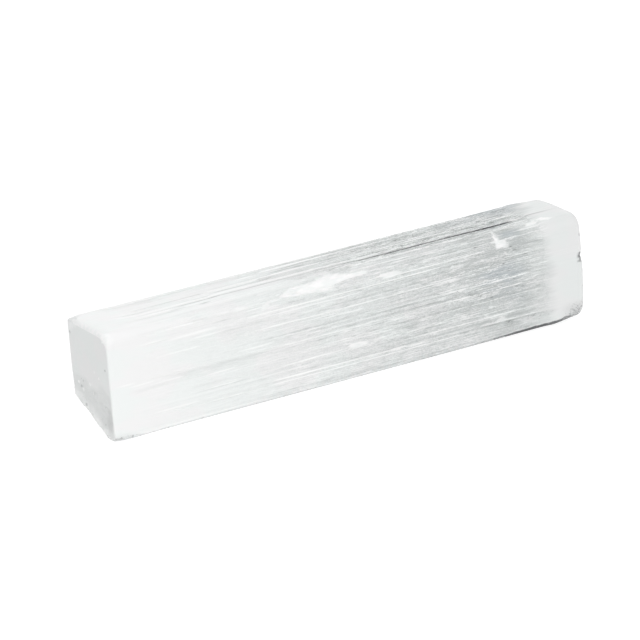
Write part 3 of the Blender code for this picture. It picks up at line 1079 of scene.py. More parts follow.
@dataclass
class BrokenEnd:
    """The break at -X with its chips, scoops and specks, and the small pits on the front edge at +X.

    Attributes:
        middle: A point inside the bar, towards which it is broken.
        end: How far the ends are from the middle.
        chips: The flat cuts. The first one has a pale rim painted above it, as painted light for the floor's
            bounce light on that facet.
        scoops: The hollows, at -X, and the pits, at +X.
        worked: How far from each end the work reaches.
        pit_by: How irregular the pits' outline is.
        full_pit: The depth from which a pit is fully dark with painted shade.
        rim: How far above the first chip its painted pale rim begins, and where it is full.
        face: How far from the end the face's marks reach, and how far the rim does.
        step_by: How ragged the upper edge of the rough lower half is.
        rough_below: The heights between which the face turns smooth.
        smooth_front: Places across the bar between which the face's smooth front edge ends.
        hackle: How deep the facets and the grain of the break are.
        seed: Picks the way in which the facets are tilted.
    """

    middle: Vector
    end: float
    chips: tuple[Chip, ...] = CHIPS
    scoops: tuple[Scoop, ...] = SCOOPS
    specks: tuple[Speck, ...] = SPECKS
    worked: Pair = metres(14, 1.5)
    pit_scale: float = 1100
    pit_by: float = 0.7
    full_pit: float = 0.25 * MM
    rim: Pair = metres(-3.0, -0.6)
    rim_scale: float = 420
    face: Pair = metres(1.0, 0.5)
    step_by: float = 3.0 * MM
    step_scale: float = 230
    rough_below: Pair = metres(12.5, 15.0)
    smooth_front: Pair = metres(-11.2, -10.4)
    facet_scale: float = 620
    grain_scale: float = 2600
    hackle: Pair = metres(0.22, 0.05)
    seed: int = 1

    def break_off(self, points: np.ndarray, fields: dict[Field, np.ndarray]) -> None:
        """Breaks the chips, scoops and pits out of the skin and marks them.

        Args:
            points: The skin's points, which are moved.
            fields: The skin's fields, of which BROKEN, SHADE and BRUISE_AND_LIGHT are changed.
        """
        flat = points.reshape(-1, 3)
        changed = (Field.BROKEN, Field.SHADE, Field.BRUISE_AND_LIGHT)
        broken, crack, bruise_and_light = (fields[name].reshape(-1) for name in changed)
        left, right = self.worked
        noise.seed_set(self.seed)
        for index in np.flatnonzero((flat[:, 0] < -self.end + left) | (flat[:, 0] > self.end - right)):
            point = EndPoint(Vector(flat[index]), crack[index], bruise_and_light[index])
            self._scoop(point)
            self._chip(point)
            if point.place.x < -self.end + self.face[0]:
                self._mark_face(point)
            if point.rough > 0 and point.place.x < 0:
                point.place = self._inward(point, self._hackle(point.place) * point.rough)
            flat[index] = point.place
            broken[index] = max(broken[index], point.rough)
            crack[index], bruise_and_light[index] = point.dark, point.white

    def _inward(self, point: EndPoint, depth: float) -> Vector:
        """The point's place, moved towards the middle of the bar."""
        return point.place + (self.middle - point.place).normalized() * depth

    def _scoop(self, point: EndPoint) -> None:
        """Presses a point into the scoops at -X, or into the pits at +X, which are painted dark as painted
        shade.

        Args:
            point: The point, which is changed.
        """
        for scoop in self.scoops:
            pit = scoop.centre.x > 0
            share = (point.place - scoop.centre).length / scoop.radius
            if pit:
                share += self.pit_by * noise.noise(point.place * self.pit_scale)
            if share < 1:
                point.place = self._inward(point, scoop.depth * (1 - share * share))
                point.rough = max(point.rough, min(1.0, 2 * (1 - share)))
                if pit:
                    # Painted shade in the pit's hollow.
                    point.dark = min(0.95, 1.4 * (1 - share)) * min(1.0, scoop.depth / self.full_pit)

    def _chip(self, point: EndPoint) -> None:
        """Presses a point back onto the chips' cuts, and paints light on the rim of the first one.

        Args:
            point: The point, which is changed.
        """
        for chip in self.chips:
            over = (point.place - chip.point).dot(chip.normal)
            # Painted light: a pale rim above the first chip, for the floor's bounce light on that facet.
            if chip is self.chips[0] and point.place.x < -self.end + self.face[1]:
                patches = 0.65 + 0.9 * noise.noise(point.place * self.rim_scale)
                point.white = max(point.white, float(np.clip(rise(over, *self.rim) * patches, 0, 0.9)))
            if over > -0.02 * MM:
                point.place = point.place - chip.normal * max(over, 0)
                point.rough = max(point.rough, 1.0)

    def _mark_face(self, point: EndPoint) -> None:
        """Makes the lower half of the face rough and puts the specks on it, the dark ones as painted shade.

        Args:
            point: A point of the face, which is changed.
        """
        place = point.place
        edge = place.z + self.step_by * noise.noise(place * self.step_scale)
        inner = rise(place.y, *self.smooth_front) * fall(edge, *self.rough_below)
        point.rough = max(point.rough, float(inner) * 0.9)
        for speck in self.specks:
            apart = math.hypot(place.y - speck.y, place.z - speck.z) / speck.radius
            shown = max(0.0, min(1.0, 3 * (1 - apart)))
            # Painted shade for the dark specks.
            point.dark = max(point.dark, shown * speck.dark)
            point.white = max(point.white, -shown * speck.dark)

    def _hackle(self, place: Vector) -> float:
        """How deep the rough break lies at a place: small tilted facets and a little grain.

        Args:
            place: A place on the skin.

        Returns:
            The depth.
        """
        corner = noise.voronoi(place * self.facet_scale)[1][0]
        tilt = noise.noise_vector(corner * 7.3).dot(place * self.facet_scale - corner)
        facet = 0.5 + 0.5 * noise.noise(corner * 3.1) + 0.6 * tilt
        deep, fine = self.hackle
        return deep * max(0.0, facet) + fine * (1 + noise.noise(place * self.grain_scale))


@dataclass
class SatinSparBar:
    """The crystal: its outline, ledges, scars, crack and broken end, as one fine skin.

    Attributes:
        body_radii: The section's corner radii along the body, in the order front bottom, front top, back
            top, back bottom.
        rubbed_radii: The same at the rubbed end.
        rubbed_round: How far the rubbed end is rounded.
        front_wear: How much more the lower front edge is rounded towards +X.
        end_fall: How far the rubbed end falls back towards the front, the base, the back and the top.
        fine_pitch: How far apart the points are round the front and the top.
        coarse_pitch: How far apart they are round the back and the base.
        stations: How many rings there are along the bar.
        end_rings: For each end face, the first and the last ring's share and how many there are.
        crowding: Stretches where the rings lie closer: the sign of x, two places and how much.
        flake_crowding: How much closer the rings lie at the white flake scars.
        broken_rounds: How far the edge of the -X end is rounded: all round, more on the top, and most at
            the front top corner.
        top_rounded: Where on the top the greater rounding begins and ends.
        corner_rounded: How far round the corner the greatest reaches.
        lip_from: The share of the rounding from which its edge is painted white, as painted light for the
            light from above that the rounded lip catches.
        lip_rounds: The rounding from which its edge is painted white.
        relief: How high the hairlines stand.
        end_grain: How grainy the rubbed end's face is.
        least_fibrous: How fibrous the milkiest stretch of the body still is.
    """

    length: float = 150.0 * MM
    outline: SectionOutline = field(default_factory=SectionOutline)
    body_radii: np.ndarray = field(default_factory=lambda: np.array([1.3, 3.0, 2.2, 1.6]) * MM)
    rubbed_radii: np.ndarray = field(default_factory=lambda: np.array([4.4, 3.8, 4.2, 2.8]) * MM)
    rubbed_round: float = 1.3 * MM
    front_wear: float = 0.5 * MM
    wear_from: Pair = metres(25, 60)
    end_fall: np.ndarray = field(default_factory=lambda: np.array([0.1, 1.1, 1.0, 0.5]) * MM)
    fine_pitch: float = 0.158 * MM
    coarse_pitch: float = 0.34 * MM
    stations: int = 140
    rounding_steps: int = 5
    end_rings: tuple[tuple[float, float, int], ...] = ((0.02, 0.985, 34), (0.95, 0.08, 8))
    crowding: tuple[tuple[int, float, float, float], ...] = (
        (-1, 62 * MM, 74 * MM, 1.5),
        (1, 58 * MM, 70 * MM, 1.0),
    )
    flake_crowding: float = 2.2
    broken_rounds: Triple = metres(0.5, 0.8, 1.3)
    top_rounded: tuple[Pair, Pair] = (metres(-2, 1), metres(18, 22))
    corner_rounded: float = 9 * MM
    lip_from: Pair = (0.02, 0.3)
    lip_rounds: Pair = metres(0.5, 1.0)
    relief: float = 0.12 * MM
    end_grain: float = 0.16
    least_fibrous: float = 0.3
    flakes: tuple[Flake, ...] = FLAKES
    crack: OpenCrack = OpenCrack()

    def __post_init__(self) -> None:
        """Draws the ledges, the stone, the lower edge, the hairlines and the break for this outline."""
        self.ledges = Ledges(self.outline, self.length)
        self.stone = Stone()
        self.lower_edge_shade = LowerEdgeShade()
        self.hairlines = Hairlines(self.outline, self.stone)
        self.broken_end = BrokenEnd(Vector((0, 0, self.outline.height / 2)), self.length / 2)

    def _rings(self) -> np.ndarray:
        """The rings of the skin, from -X to +X.

        Returns:
            Rows of the station, the share of the end's rounding by which the ring is set back from it,
            the share of the rounding by which it is drawn in, and its share of the outline.
        """
        end = self.length / 2
        turns = np.linspace(0, math.pi / 2, self.rounding_steps + 1)
        broken, rubbed = self.end_rings
        rows = [(-end, 0.0, 1.0, share) for share in np.linspace(*broken)]
        rows += [(-end, 1 - math.cos(a), 1 - math.sin(a), 1.0) for a in turns]
        ruler = np.linspace(-end + 2 * MM, end - self.rubbed_round, 4000)
        closer = np.ones_like(ruler)
        for start, stop in (scar.reach for scar in self.flakes if scar.white > 0.8):
            near = (ruler > start - MM) & (ruler < stop + MM)
            closer = np.maximum(closer, 1 + self.flake_crowding * near)
        closer += sum(much * rise(sign * ruler, start, stop) for sign, start, stop, much in self.crowding)
        walked = np.cumsum(closer)
        walked = (walked - walked[0]) / (walked[-1] - walked[0])
        places = np.interp(np.linspace(0, 1, self.stations + 2)[1:-1], walked, ruler)
        rows += [(float(place), 0.0, 0.0, 1.0) for place in places]
        rows += [(end, 1 - math.cos(a), 1 - math.sin(a), 1.0) for a in turns[::-1]]
        rows += [(end, 0.0, 1.0, share) for share in np.linspace(*rubbed)]
        return np.array(rows)

    def _columns(self) -> np.ndarray:
        """Places round the section for the skin's points, closest on the front and the top.

        Returns:
            Distances round the section, in order.
        """
        front, back = self.outline.start(Side.FRONT), self.outline.start(Side.BACK)
        runs = (
            (0.0, front, self.coarse_pitch),
            (front, back, self.fine_pitch),
            (back, self.outline.girth, self.coarse_pitch),
        )
        places = []
        for low, high, pitch in runs:
            count = round((high - low) / pitch)
            places.append((np.arange(count) + 0.5) / count * (high - low) + low)
        return np.concatenate(places)

    def _broken_round(self, around: np.ndarray) -> np.ndarray:
        """How far the edge of the -X end is rounded: a little, more on the top and most at the corner.

        Args:
            around: Distances round the section.

        Returns:
            Lengths.
        """
        top = self.outline.spots(around, around).top
        on_top = rise(top, *self.top_rounded[0]) * fall(top, *self.top_rounded[1])
        all_round, more, corner = self.broken_rounds
        return all_round + more * on_top + corner * bell(top, 0.0, self.corner_rounded)

    def _scars(self, at: Spots) -> tuple[np.ndarray, np.ndarray]:
        """The flake scars' depth and whiteness.

        Args:
            at: Places on the skin.

        Returns:
            The depth, and the whiteness from 0 to 1.
        """
        depth, white = np.zeros_like(at.x), np.zeros_like(at.x)
        for scar in self.flakes:
            inside = scar.inside(at)
            depth = np.maximum(depth, inside * scar.depth)
            white = np.maximum(white, inside * scar.white)
        return depth, white

    def _skin(self) -> tuple[np.ndarray, dict[Field, np.ndarray]]:
        """The skin before its end is broken.

        Returns:
            The points, and the value of each field at them, as ring by ring arrays.
        """
        rings = self._rings()
        around = np.repeat(self._columns()[None, :], len(rings), axis=0)
        station, back, drawn_in, share = (column[:, None] for column in rings.T)
        rounding = np.where(station < 0, self._broken_round(around), self.rubbed_round)
        at = self.outline.spots(station - np.sign(station) * rounding * back, around)
        # The crack's depth, and its painted shade.
        crack_depth, crack = self.crack.cut(at)
        scar_depth, bruise_and_light = self._scars(at)
        crest = self.hairlines.crested(at)
        split = self.hairlines.split(at) * (1 - crest)
        sunk = self.ledges.depth(at) + crack_depth + scar_depth + self.relief * (1 - crest + split)
        body = self.stone.body(at.x)
        on_side = share >= 1.0
        # Painted light: the rounded lip of the broken end is whitened as if lit from above.
        lip = rise(drawn_in, *self.lip_from) * (station < 0) * on_side
        bruise_and_light = np.maximum(bruise_and_light, lip * rise(rounding, *self.lip_rounds))
        faces = self.stone.clear_ends(station, share, around / self.outline.girth * 2 * math.pi)
        fields = {
            Field.MILK: self.stone.milk(at),
            Field.CLEAR: np.where(on_side, self.stone.clear(at), faces),
            Field.BRUISE_AND_LIGHT: bruise_and_light * on_side,
            # The hairlines' painted highlight and painted shade.
            Field.CREST_HIGHLIGHT: crest * on_side,
            Field.SPLIT: split * on_side,
            Field.SHADE: crack * on_side,
            # The lower edge's painted shade.
            Field.UNDER: self.lower_edge_shade.dark(at) * on_side,
            Field.BROKEN: np.where((station > 0) & ~on_side, self.end_grain, 0.0 * at.x),
            Field.FIBROUS: body * at_least(self.least_fibrous, self.stone.lively(at.x)) * on_side,
            Field.LIVELY: self.stone.grain(at) * on_side,
        }
        return self._points(rings, at, sunk * body + rounding * drawn_in), fields

    def _points(self, rings: np.ndarray, at: Spots, sunk: np.ndarray) -> np.ndarray:
        """Where the skin's points are.

        Args:
            rings: The rings' rows.
            at: The points' places on the skin.
            sunk: How far each point lies below the outline.

        Returns:
            The points, ring by ring.
        """
        end = self.length / 2
        middle = np.array([0.0, self.outline.height / 2])
        half = np.array([self.outline.depth / 2, self.outline.height / 2])
        points = np.zeros((*at.x.shape, 3))
        for row, (station, _, _, share) in enumerate(rings):
            rubbed = rise(station, end - self.ledges.rubbed_length, end)
            radii = self.body_radii * (1 - rubbed) + self.rubbed_radii * rubbed
            radii[0] += self.front_wear * rise(station, *self.wear_from) * (1 - rubbed)
            point, normal = self.outline.points(at.around[row], radii)
            point = middle + (point - normal * sunk[row][:, None] - middle) * share
            across = (point - middle) / half
            towards = np.clip(np.column_stack([-across, across]), 0, None)
            points[row] = np.column_stack([at.x[row] - rubbed * (towards**2 @ self.end_fall), point])
        return points

    def build(self) -> bpy.types.Object:
        """Makes the skin.

        Returns:
            A new object in the scene, with a value on every point for each Field but THREAD, which the fibre
            relief adds.
        """
        points, fields = self._skin()
        self.broken_end.break_off(points, fields)
        rows, columns = points.shape[:2]
        index = np.arange(rows * columns).reshape(rows, columns)
        after = np.roll(index, -1, axis=1)
        quads = np.stack([index[:-1], index[1:], after[1:], after[:-1]], axis=-1).reshape(-1, 4)
        caps = [list(index[0]), list(index[-1][::-1])]
        mesh = bpy.data.meshes.new("selenite_crystal")
        mesh.from_pydata(points.reshape(-1, 3).tolist(), [], quads.tolist() + caps)
        for name, values in fields.items():
            layer = mesh.attributes.new(name.value, "FLOAT", "POINT")
            layer.data.foreach_set("value", values.reshape(-1).astype(np.float32))
        crystal = bpy.data.objects.new("selenite_crystal", mesh)
        bpy.context.scene.collection.objects.link(crystal)
        return crystal


class Nodes:
    """Adds nodes to a tree and joins them, so that a recipe reads as one line a step."""

    def __init__(self, tree: bpy.types.NodeTree) -> None:
        """Keeps the tree that the nodes go into."""
        self.tree = tree

    def add(self, kind: str, **settings: object) -> bpy.types.Node:
        """Adds a node.

        Args:
            kind: The type of node.
            **settings: Its properties.

        Returns:
            The node.
        """
        node = self.tree.nodes.new(kind)
        for name, value in settings.items():
            setattr(node, name, value)
        return node

    def feed(self, socket: Socket, value: object) -> None:
        """Links a socket to another, or sets its value.

        Args:
            socket: An input.
            value: An output or a plain value.
        """
        if isinstance(value, Socket):
            self.tree.links.new(value, socket)
        else:
            socket.default_value = value

    def put(self, kind: str, inputs: dict[object, object], **settings: object) -> bpy.types.Node:
        """Adds a node and feeds its inputs.

        Args:
            kind: The type of node.
            inputs: What goes into each input, by name or number.
            **settings: Its properties.

        Returns:
            The node.
        """
        node = self.add(kind, **settings)
        for name, value in inputs.items():
            self.feed(node.inputs[name], value)
        return node

    def math(self, operation: str, *values: object) -> Socket:
        """A Math node's result."""
        return self.put("ShaderNodeMath", dict(enumerate(values)), operation=operation).outputs[0]

    def scaled_sum(self, value: object, by: object, total: object) -> Socket:
        """The value times the factor, added to the total."""
        return self.math("MULTIPLY_ADD", value, by, total)

    def clamp(self, value: object) -> Socket:
        """The value held between 0 and 1."""
        return self.put("ShaderNodeClamp", {"Value": value}).outputs[0]

    def spread(self, value: object, low: float, high: float, to: Pair = (0, 1)) -> Socket:
        """The value, mapped smoothly from low and high to another range and held inside it."""
        inputs = {"Value": value, "From Min": low, "From Max": high, "To Min": to[0], "To Max": to[1]}
        return self.put("ShaderNodeMapRange", inputs, interpolation_type="SMOOTHSTEP").outputs["Result"]

    def mix(self, share: object, first: object, second: object) -> Socket:
        """Two colours mixed."""
        return self.put("ShaderNodeMix", {0: share, 6: first, 7: second}, data_type="RGBA").outputs[2]


class MaterialRecipe(Nodes):
    """A material, built on the shader that it starts with."""

    def __init__(self, name: str) -> None:
        """Opens the material.

        Args:
            name: Its name.
        """
        self.material = bpy.data.materials.new(name)
        self.material.use_nodes = True
        super().__init__(self.material.node_tree)

    @cached_property
    def place(self) -> Socket:
        """Object coordinates."""
        return self.add("ShaderNodeTexCoord").outputs["Object"]

    def field(self, name: Field) -> Socket:
        """The value that the skin carries under this name."""
        return self.add("ShaderNodeAttribute", attribute_name=name.value).outputs["Fac"]

    def noise(self, drawn: float, scale: float, detail: float = 2.0, roughness: float = 0.5) -> Socket:
        """A noise pattern that is drawn out along the fibres.

        Args:
            drawn: The share of x that it takes: the smaller it is, the longer its streaks.
            scale: How fine it is across the fibres.
            detail: How many finer steps it has.
            roughness: How strong those are.

        Returns:
            A value from 0 to 1.
        """
        scaled = {0: self.place, 1: (drawn, 1.0, 1.0)}
        where = self.put("ShaderNodeVectorMath", scaled, operation="MULTIPLY").outputs[0]
        inputs = {"Vector": where, "Scale": scale, "Detail": detail, "Roughness": roughness}
        return self.put("ShaderNodeTexNoise", inputs).outputs[0]

    def dress(self, looks: dict[str, object]) -> bpy.types.Material:
        """Feeds the shader.

        Args:
            looks: What goes into each of its inputs.

        Returns:
            The material.
        """
        for name, value in looks.items():
            self.feed(self.tree.nodes["Principled BSDF"].inputs[name], value)
        return self.material


class SkinRecipe(Nodes):
    """A Geometry Nodes tree with named inputs, which makes one plain mesh out of the skin."""

    KINDS = {int: "NodeSocketInt", float: "NodeSocketFloat", tuple: "NodeSocketVector"}

    def __init__(self, name: str, inputs: dict[str, object]) -> None:
        """Opens the tree.

        Args:
            name: Its name.
            inputs: The value that each named input is given.
        """
        super().__init__(bpy.data.node_groups.new(name, "GeometryNodeTree"))
        self.inputs = inputs
        face = self.tree.interface
        face.new_socket("Geometry", in_out="INPUT", socket_type="NodeSocketGeometry")
        for label, value in inputs.items():
            face.new_socket(label, in_out="INPUT", socket_type=self.KINDS[type(value)])
        face.new_socket("Geometry", in_out="OUTPUT", socket_type="NodeSocketGeometry")
        self.given = self.add("NodeGroupInput").outputs

    def read(self, name: Field) -> Socket:
        """The value that the skin carries under this name."""
        inputs = {"Name": name.value}
        return self.put("GeometryNodeInputNamedAttribute", inputs, data_type="FLOAT").outputs["Attribute"]

    def keep(self, geometry: Socket, name: Field, value: object, domain: str) -> Socket:
        """Keeps a value under a name.

        Args:
            geometry: What carries it.
            name: The name.
            value: The value.
            domain: Whether each point or each instance has its own.

        Returns:
            The geometry with the value.
        """
        inputs = {"Geometry": geometry, "Name": name.value, "Value": value}
        kind = "GeometryNodeStoreNamedAttribute"
        return self.put(kind, inputs, data_type="FLOAT", domain=domain).outputs[0]

    def sink(self, geometry: Socket, normal: Socket, depth: Socket) -> Socket:
        """Moves geometry inward.

        Args:
            geometry: What is moved.
            normal: The way out.
            depth: How far it goes in.

        Returns:
            The moved geometry.
        """
        inward = {0: normal, "Scale": self.math("MULTIPLY", depth, -1.0)}
        offset = self.put("ShaderNodeVectorMath", inward, operation="SCALE").outputs[0]
        return self.put("GeometryNodeSetPosition", {"Geometry": geometry, "Offset": offset}).outputs[0]

    def close(self, geometry: Socket, material: bpy.types.Material) -> None:
        """Ends the tree: instances become real and everything takes the material.

        Args:
            geometry: What has been made.
            material: Its finish.
        """
        real = self.put("GeometryNodeRealizeInstances", {"Geometry": geometry}).outputs[0]
        dressed = self.put("GeometryNodeSetMaterial", {"Geometry": real, "Material": material}).outputs[0]
        self.put("NodeGroupOutput", {0: dressed})

    def bake(self, piece: bpy.types.Object) -> None:
        """Runs the tree over a piece and leaves it a plain mesh.

        Args:
            piece: The piece, whose mesh is replaced.
        """
        modifier = piece.modifiers.new(self.tree.name, "NODES")
        modifier.node_group = self.tree
        for item in self.tree.interface.items_tree:
            if item.in_out == "INPUT" and item.name in self.inputs:
                modifier[item.identifier] = self.inputs[item.name]
        evaluated = piece.evaluated_get(bpy.context.evaluated_depsgraph_get())
        mesh = bpy.data.meshes.new_from_object(evaluated)
        piece.modifiers.clear()
        piece.data = mesh


@dataclass
class FibreRelief:
    """Fine fibres, as lengthwise grooves that Geometry Nodes press into the skin.

    Attributes:
        run: How long a groove runs.
        levels: Where on the pattern a groove begins, and where it is deepest.
    """

    bundle_pitch: float = 1.1 * MM
    bundle_depth: float = 0.05 * MM
    fibre_pitch: float = 0.42 * MM
    fibre_depth: float = 0.045 * MM
    run: float = 90.0 * MM
    seed: int = 7
    levels: Pair = (0.3, 0.7)

    def _grooves(self, recipe: SkinRecipe, pitch: Socket, seed: Socket) -> Socket:
        """Noise that is drawn out along X.

        Args:
            recipe: Where the nodes are added.
            pitch: How wide a groove is.
            seed: Picks the pattern.

        Returns:
            A value from 0 to 1.
        """
        position = recipe.add("GeometryNodeInputPosition").outputs[0]
        place = recipe.put("ShaderNodeSeparateXYZ", {0: position}).outputs
        sizes = {"X": recipe.given["Run"], "Y": pitch, "Z": pitch}
        shares = {name: recipe.math("DIVIDE", place[name], size) for name, size in sizes.items()}
        joined = recipe.put("ShaderNodeCombineXYZ", shares).outputs[0]
        inputs = {"Vector": joined, "W": seed, "Scale": 1.0, "Detail": 2.0}
        pattern = recipe.put("ShaderNodeTexNoise", inputs, noise_dimensions="4D").outputs[0]
        return recipe.spread(pattern, *self.levels)

    def press(self, crystal: bpy.types.Object, material: bpy.types.Material) -> None:
        """Presses the fibres into the crystal and leaves it a plain mesh.

        Args:
            crystal: The skin, whose mesh is replaced.
            material: The finish that it takes.
        """
        inputs = {
            "Bundle pitch": self.bundle_pitch,
            "Bundle depth": self.bundle_depth,
            "Fibre pitch": self.fibre_pitch,
            "Fibre depth": self.fibre_depth,
            "Run": self.run,
            "Seed": float(self.seed),
        }
        recipe = SkinRecipe("fibre relief", inputs)
        given = recipe.given
        coarse = self._grooves(recipe, given["Bundle pitch"], given["Seed"])
        fine = self._grooves(recipe, given["Fibre pitch"], recipe.math("ADD", given["Seed"], 3.7))
        sunk = recipe.math("MULTIPLY", coarse, given["Bundle depth"])
        sunk = recipe.scaled_sum(fine, given["Fibre depth"], sunk)
        sunk = recipe.math("MULTIPLY", sunk, recipe.read(Field.FIBROUS))
        normal = recipe.add("GeometryNodeInputNormal").outputs["Normal"]
        moved = recipe.sink(given["Geometry"], normal, sunk)
        threaded = recipe.keep(moved, Field.THREAD, fine, "POINT")
        smooth = recipe.put("GeometryNodeSetShadeSmooth", {"Geometry": threaded}).outputs[0]
        recipe.close(smooth, material)
        recipe.bake(crystal)


@dataclass(frozen=True)
class Scatter:
    """Small splinters that Geometry Nodes strew over the crystal: bruised white ones, and dark ones that are
    painted shade for small pockets in shadow.

    Attributes:
        name: The name of the piece.
        on: The field that they lie on.
        above: The field's value at which they start.
        count: How many there are on a square metre for each 1 that the field is above that.
        least: The smallest length, width and thickness.
        most: The largest.
        shade_share: The share of them that are dark, as painted shade.
        sunk: How far their middles lie below the skin.
        seed: Picks the pattern.
        shade_darkness: How dark the dark ones are painted.
        held_in: How far inside the CAD model's box they are held.
    """

    name: str
    on: Field
    above: float
    count: float
    least: Triple
    most: Triple
    shade_share: float
    sunk: float
    seed: int
    shade_darkness: float = 0.7
    held_in: float = 0.02 * MM

    def _chance(self, recipe: SkinRecipe, low: object, high: object, step: int) -> Socket:
        """A random value for each splinter.

        Args:
            recipe: Where the nodes are added.
            low: The least, as a plain number or as a vector's socket.
            high: The most.
            step: Tells this value from the others.

        Returns:
            The value.
        """
        plain = isinstance(low, float)
        inputs = {2: low, 3: high} if plain else {0: low, 1: high}
        kind = "FLOAT" if plain else "FLOAT_VECTOR"
        node = recipe.put("FunctionNodeRandomValue", inputs | {"Seed": self.seed + step}, data_type=kind)
        return node.outputs[1 if plain else 0]

    def _places(self, recipe: SkinRecipe) -> tuple[Socket, Socket]:
        """Points on the crystal, and a turn for each.

        Args:
            recipe: Where the nodes are added.

        Returns:
            The points, a little below the skin, and a turn that lays a splinter along X and flat on it.
        """
        given = recipe.given
        more = recipe.math("MAXIMUM", recipe.math("SUBTRACT", recipe.read(self.on), given["Above"]), 0.0)
        inputs = {
            "Mesh": given["Geometry"],
            "Density": recipe.math("MULTIPLY", more, given["Count"]),
            "Seed": given["Seed"],
        }
        strewn = recipe.put("GeometryNodeDistributePointsOnFaces", inputs).outputs
        points = recipe.sink(strewn["Points"], strewn["Normal"], given["Sunk"])
        align = "FunctionNodeAlignRotationToVector"
        along = recipe.put(align, {"Vector": (1.0, 0.0, 0.0)}, axis="X").outputs[0]
        flat = {"Rotation": along, "Vector": strewn["Normal"]}
        return points, recipe.put(align, flat, axis="Z", pivot_axis="X").outputs[0]

    def _recipe(self, material: bpy.types.Material) -> SkinRecipe:
        """Builds the node tree.

        Args:
            material: The finish that the splinters take.

        Returns:
            A recipe that swaps the crystal for the splinters that lie on it.
        """
        inputs = {
            "Least": self.least,
            "Most": self.most,
            "Above": self.above,
            "Count": self.count,
            "Dark share": self.shade_share,
            "Sunk": self.sunk,
            "Seed": self.seed,
        }
        recipe = SkinRecipe(self.name, inputs)
        given = recipe.given
        points, turn = self._places(recipe)
        grain = recipe.put("GeometryNodeMeshUVSphere", {"Segments": 4, "Rings": 2, "Radius": 0.5})
        laid = {
            "Points": points,
            "Instance": grain.outputs["Mesh"],
            "Rotation": turn,
            "Scale": self._chance(recipe, given["Least"], given["Most"], 1),
        }
        splinters = recipe.put("GeometryNodeInstanceOnPoints", laid).outputs[0]
        chance = self._chance(recipe, 0.0, 1.0, 2)
        # The dark splinters are painted shade.
        dark = recipe.math("LESS_THAN", chance, given["Dark share"])
        white = recipe.math("MULTIPLY", recipe.math("SUBTRACT", 1.0, dark), chance)
        shade_darkness = recipe.math("MULTIPLY", dark, self.shade_darkness)
        marked = recipe.keep(splinters, Field.SHADE, shade_darkness, "INSTANCE")
        recipe.close(recipe.keep(marked, Field.BRUISE_AND_LIGHT, white, "INSTANCE"), material)
        return recipe

    def strew(self, crystal: bpy.types.Object, material: bpy.types.Material) -> bpy.types.Object:
        """Strews the splinters over the crystal.

        Args:
            crystal: The finished skin.
            material: The finish that they take.

        Returns:
            A new object, a plain mesh held inside the CAD model's box.
        """
        splinters = bpy.data.objects.new(self.name, crystal.data)
        bpy.context.scene.collection.objects.link(splinters)
        self._recipe(material).bake(splinters)
        mesh = splinters.data
        corners = np.zeros(len(mesh.vertices) * 3, np.float32)
        mesh.vertices.foreach_get("co", corners)
        low, high = (np.array(corner) for corner in CAD_BOX)
        inside = np.clip(corners.reshape(-1, 3), low + self.held_in, high - self.held_in)
        mesh.vertices.foreach_set("co", inside.astype(np.float32).reshape(-1))
        mesh.update()
        return splinters


SLIVERS = Scatter(
    name="selenite_slivers",
    on=Field.LIVELY,
    above=0.85,
    count=800000.0,
    least=metres(0.5, 0.10, 0.05),
    most=metres(3.0, 0.22, 0.10),
    shade_share=0.45,
    sunk=0.01 * MM,
    seed=23,
)
CRUMBS = Scatter(
    name="selenite_crumbs",
    on=Field.BROKEN,
    above=0.2,
    count=420000.0,
    least=metres(0.15, 0.15, 0.10),
    most=metres(0.45, 0.45, 0.30),
    shade_share=0.14,
    sunk=0.03 * MM,
    seed=29,
)


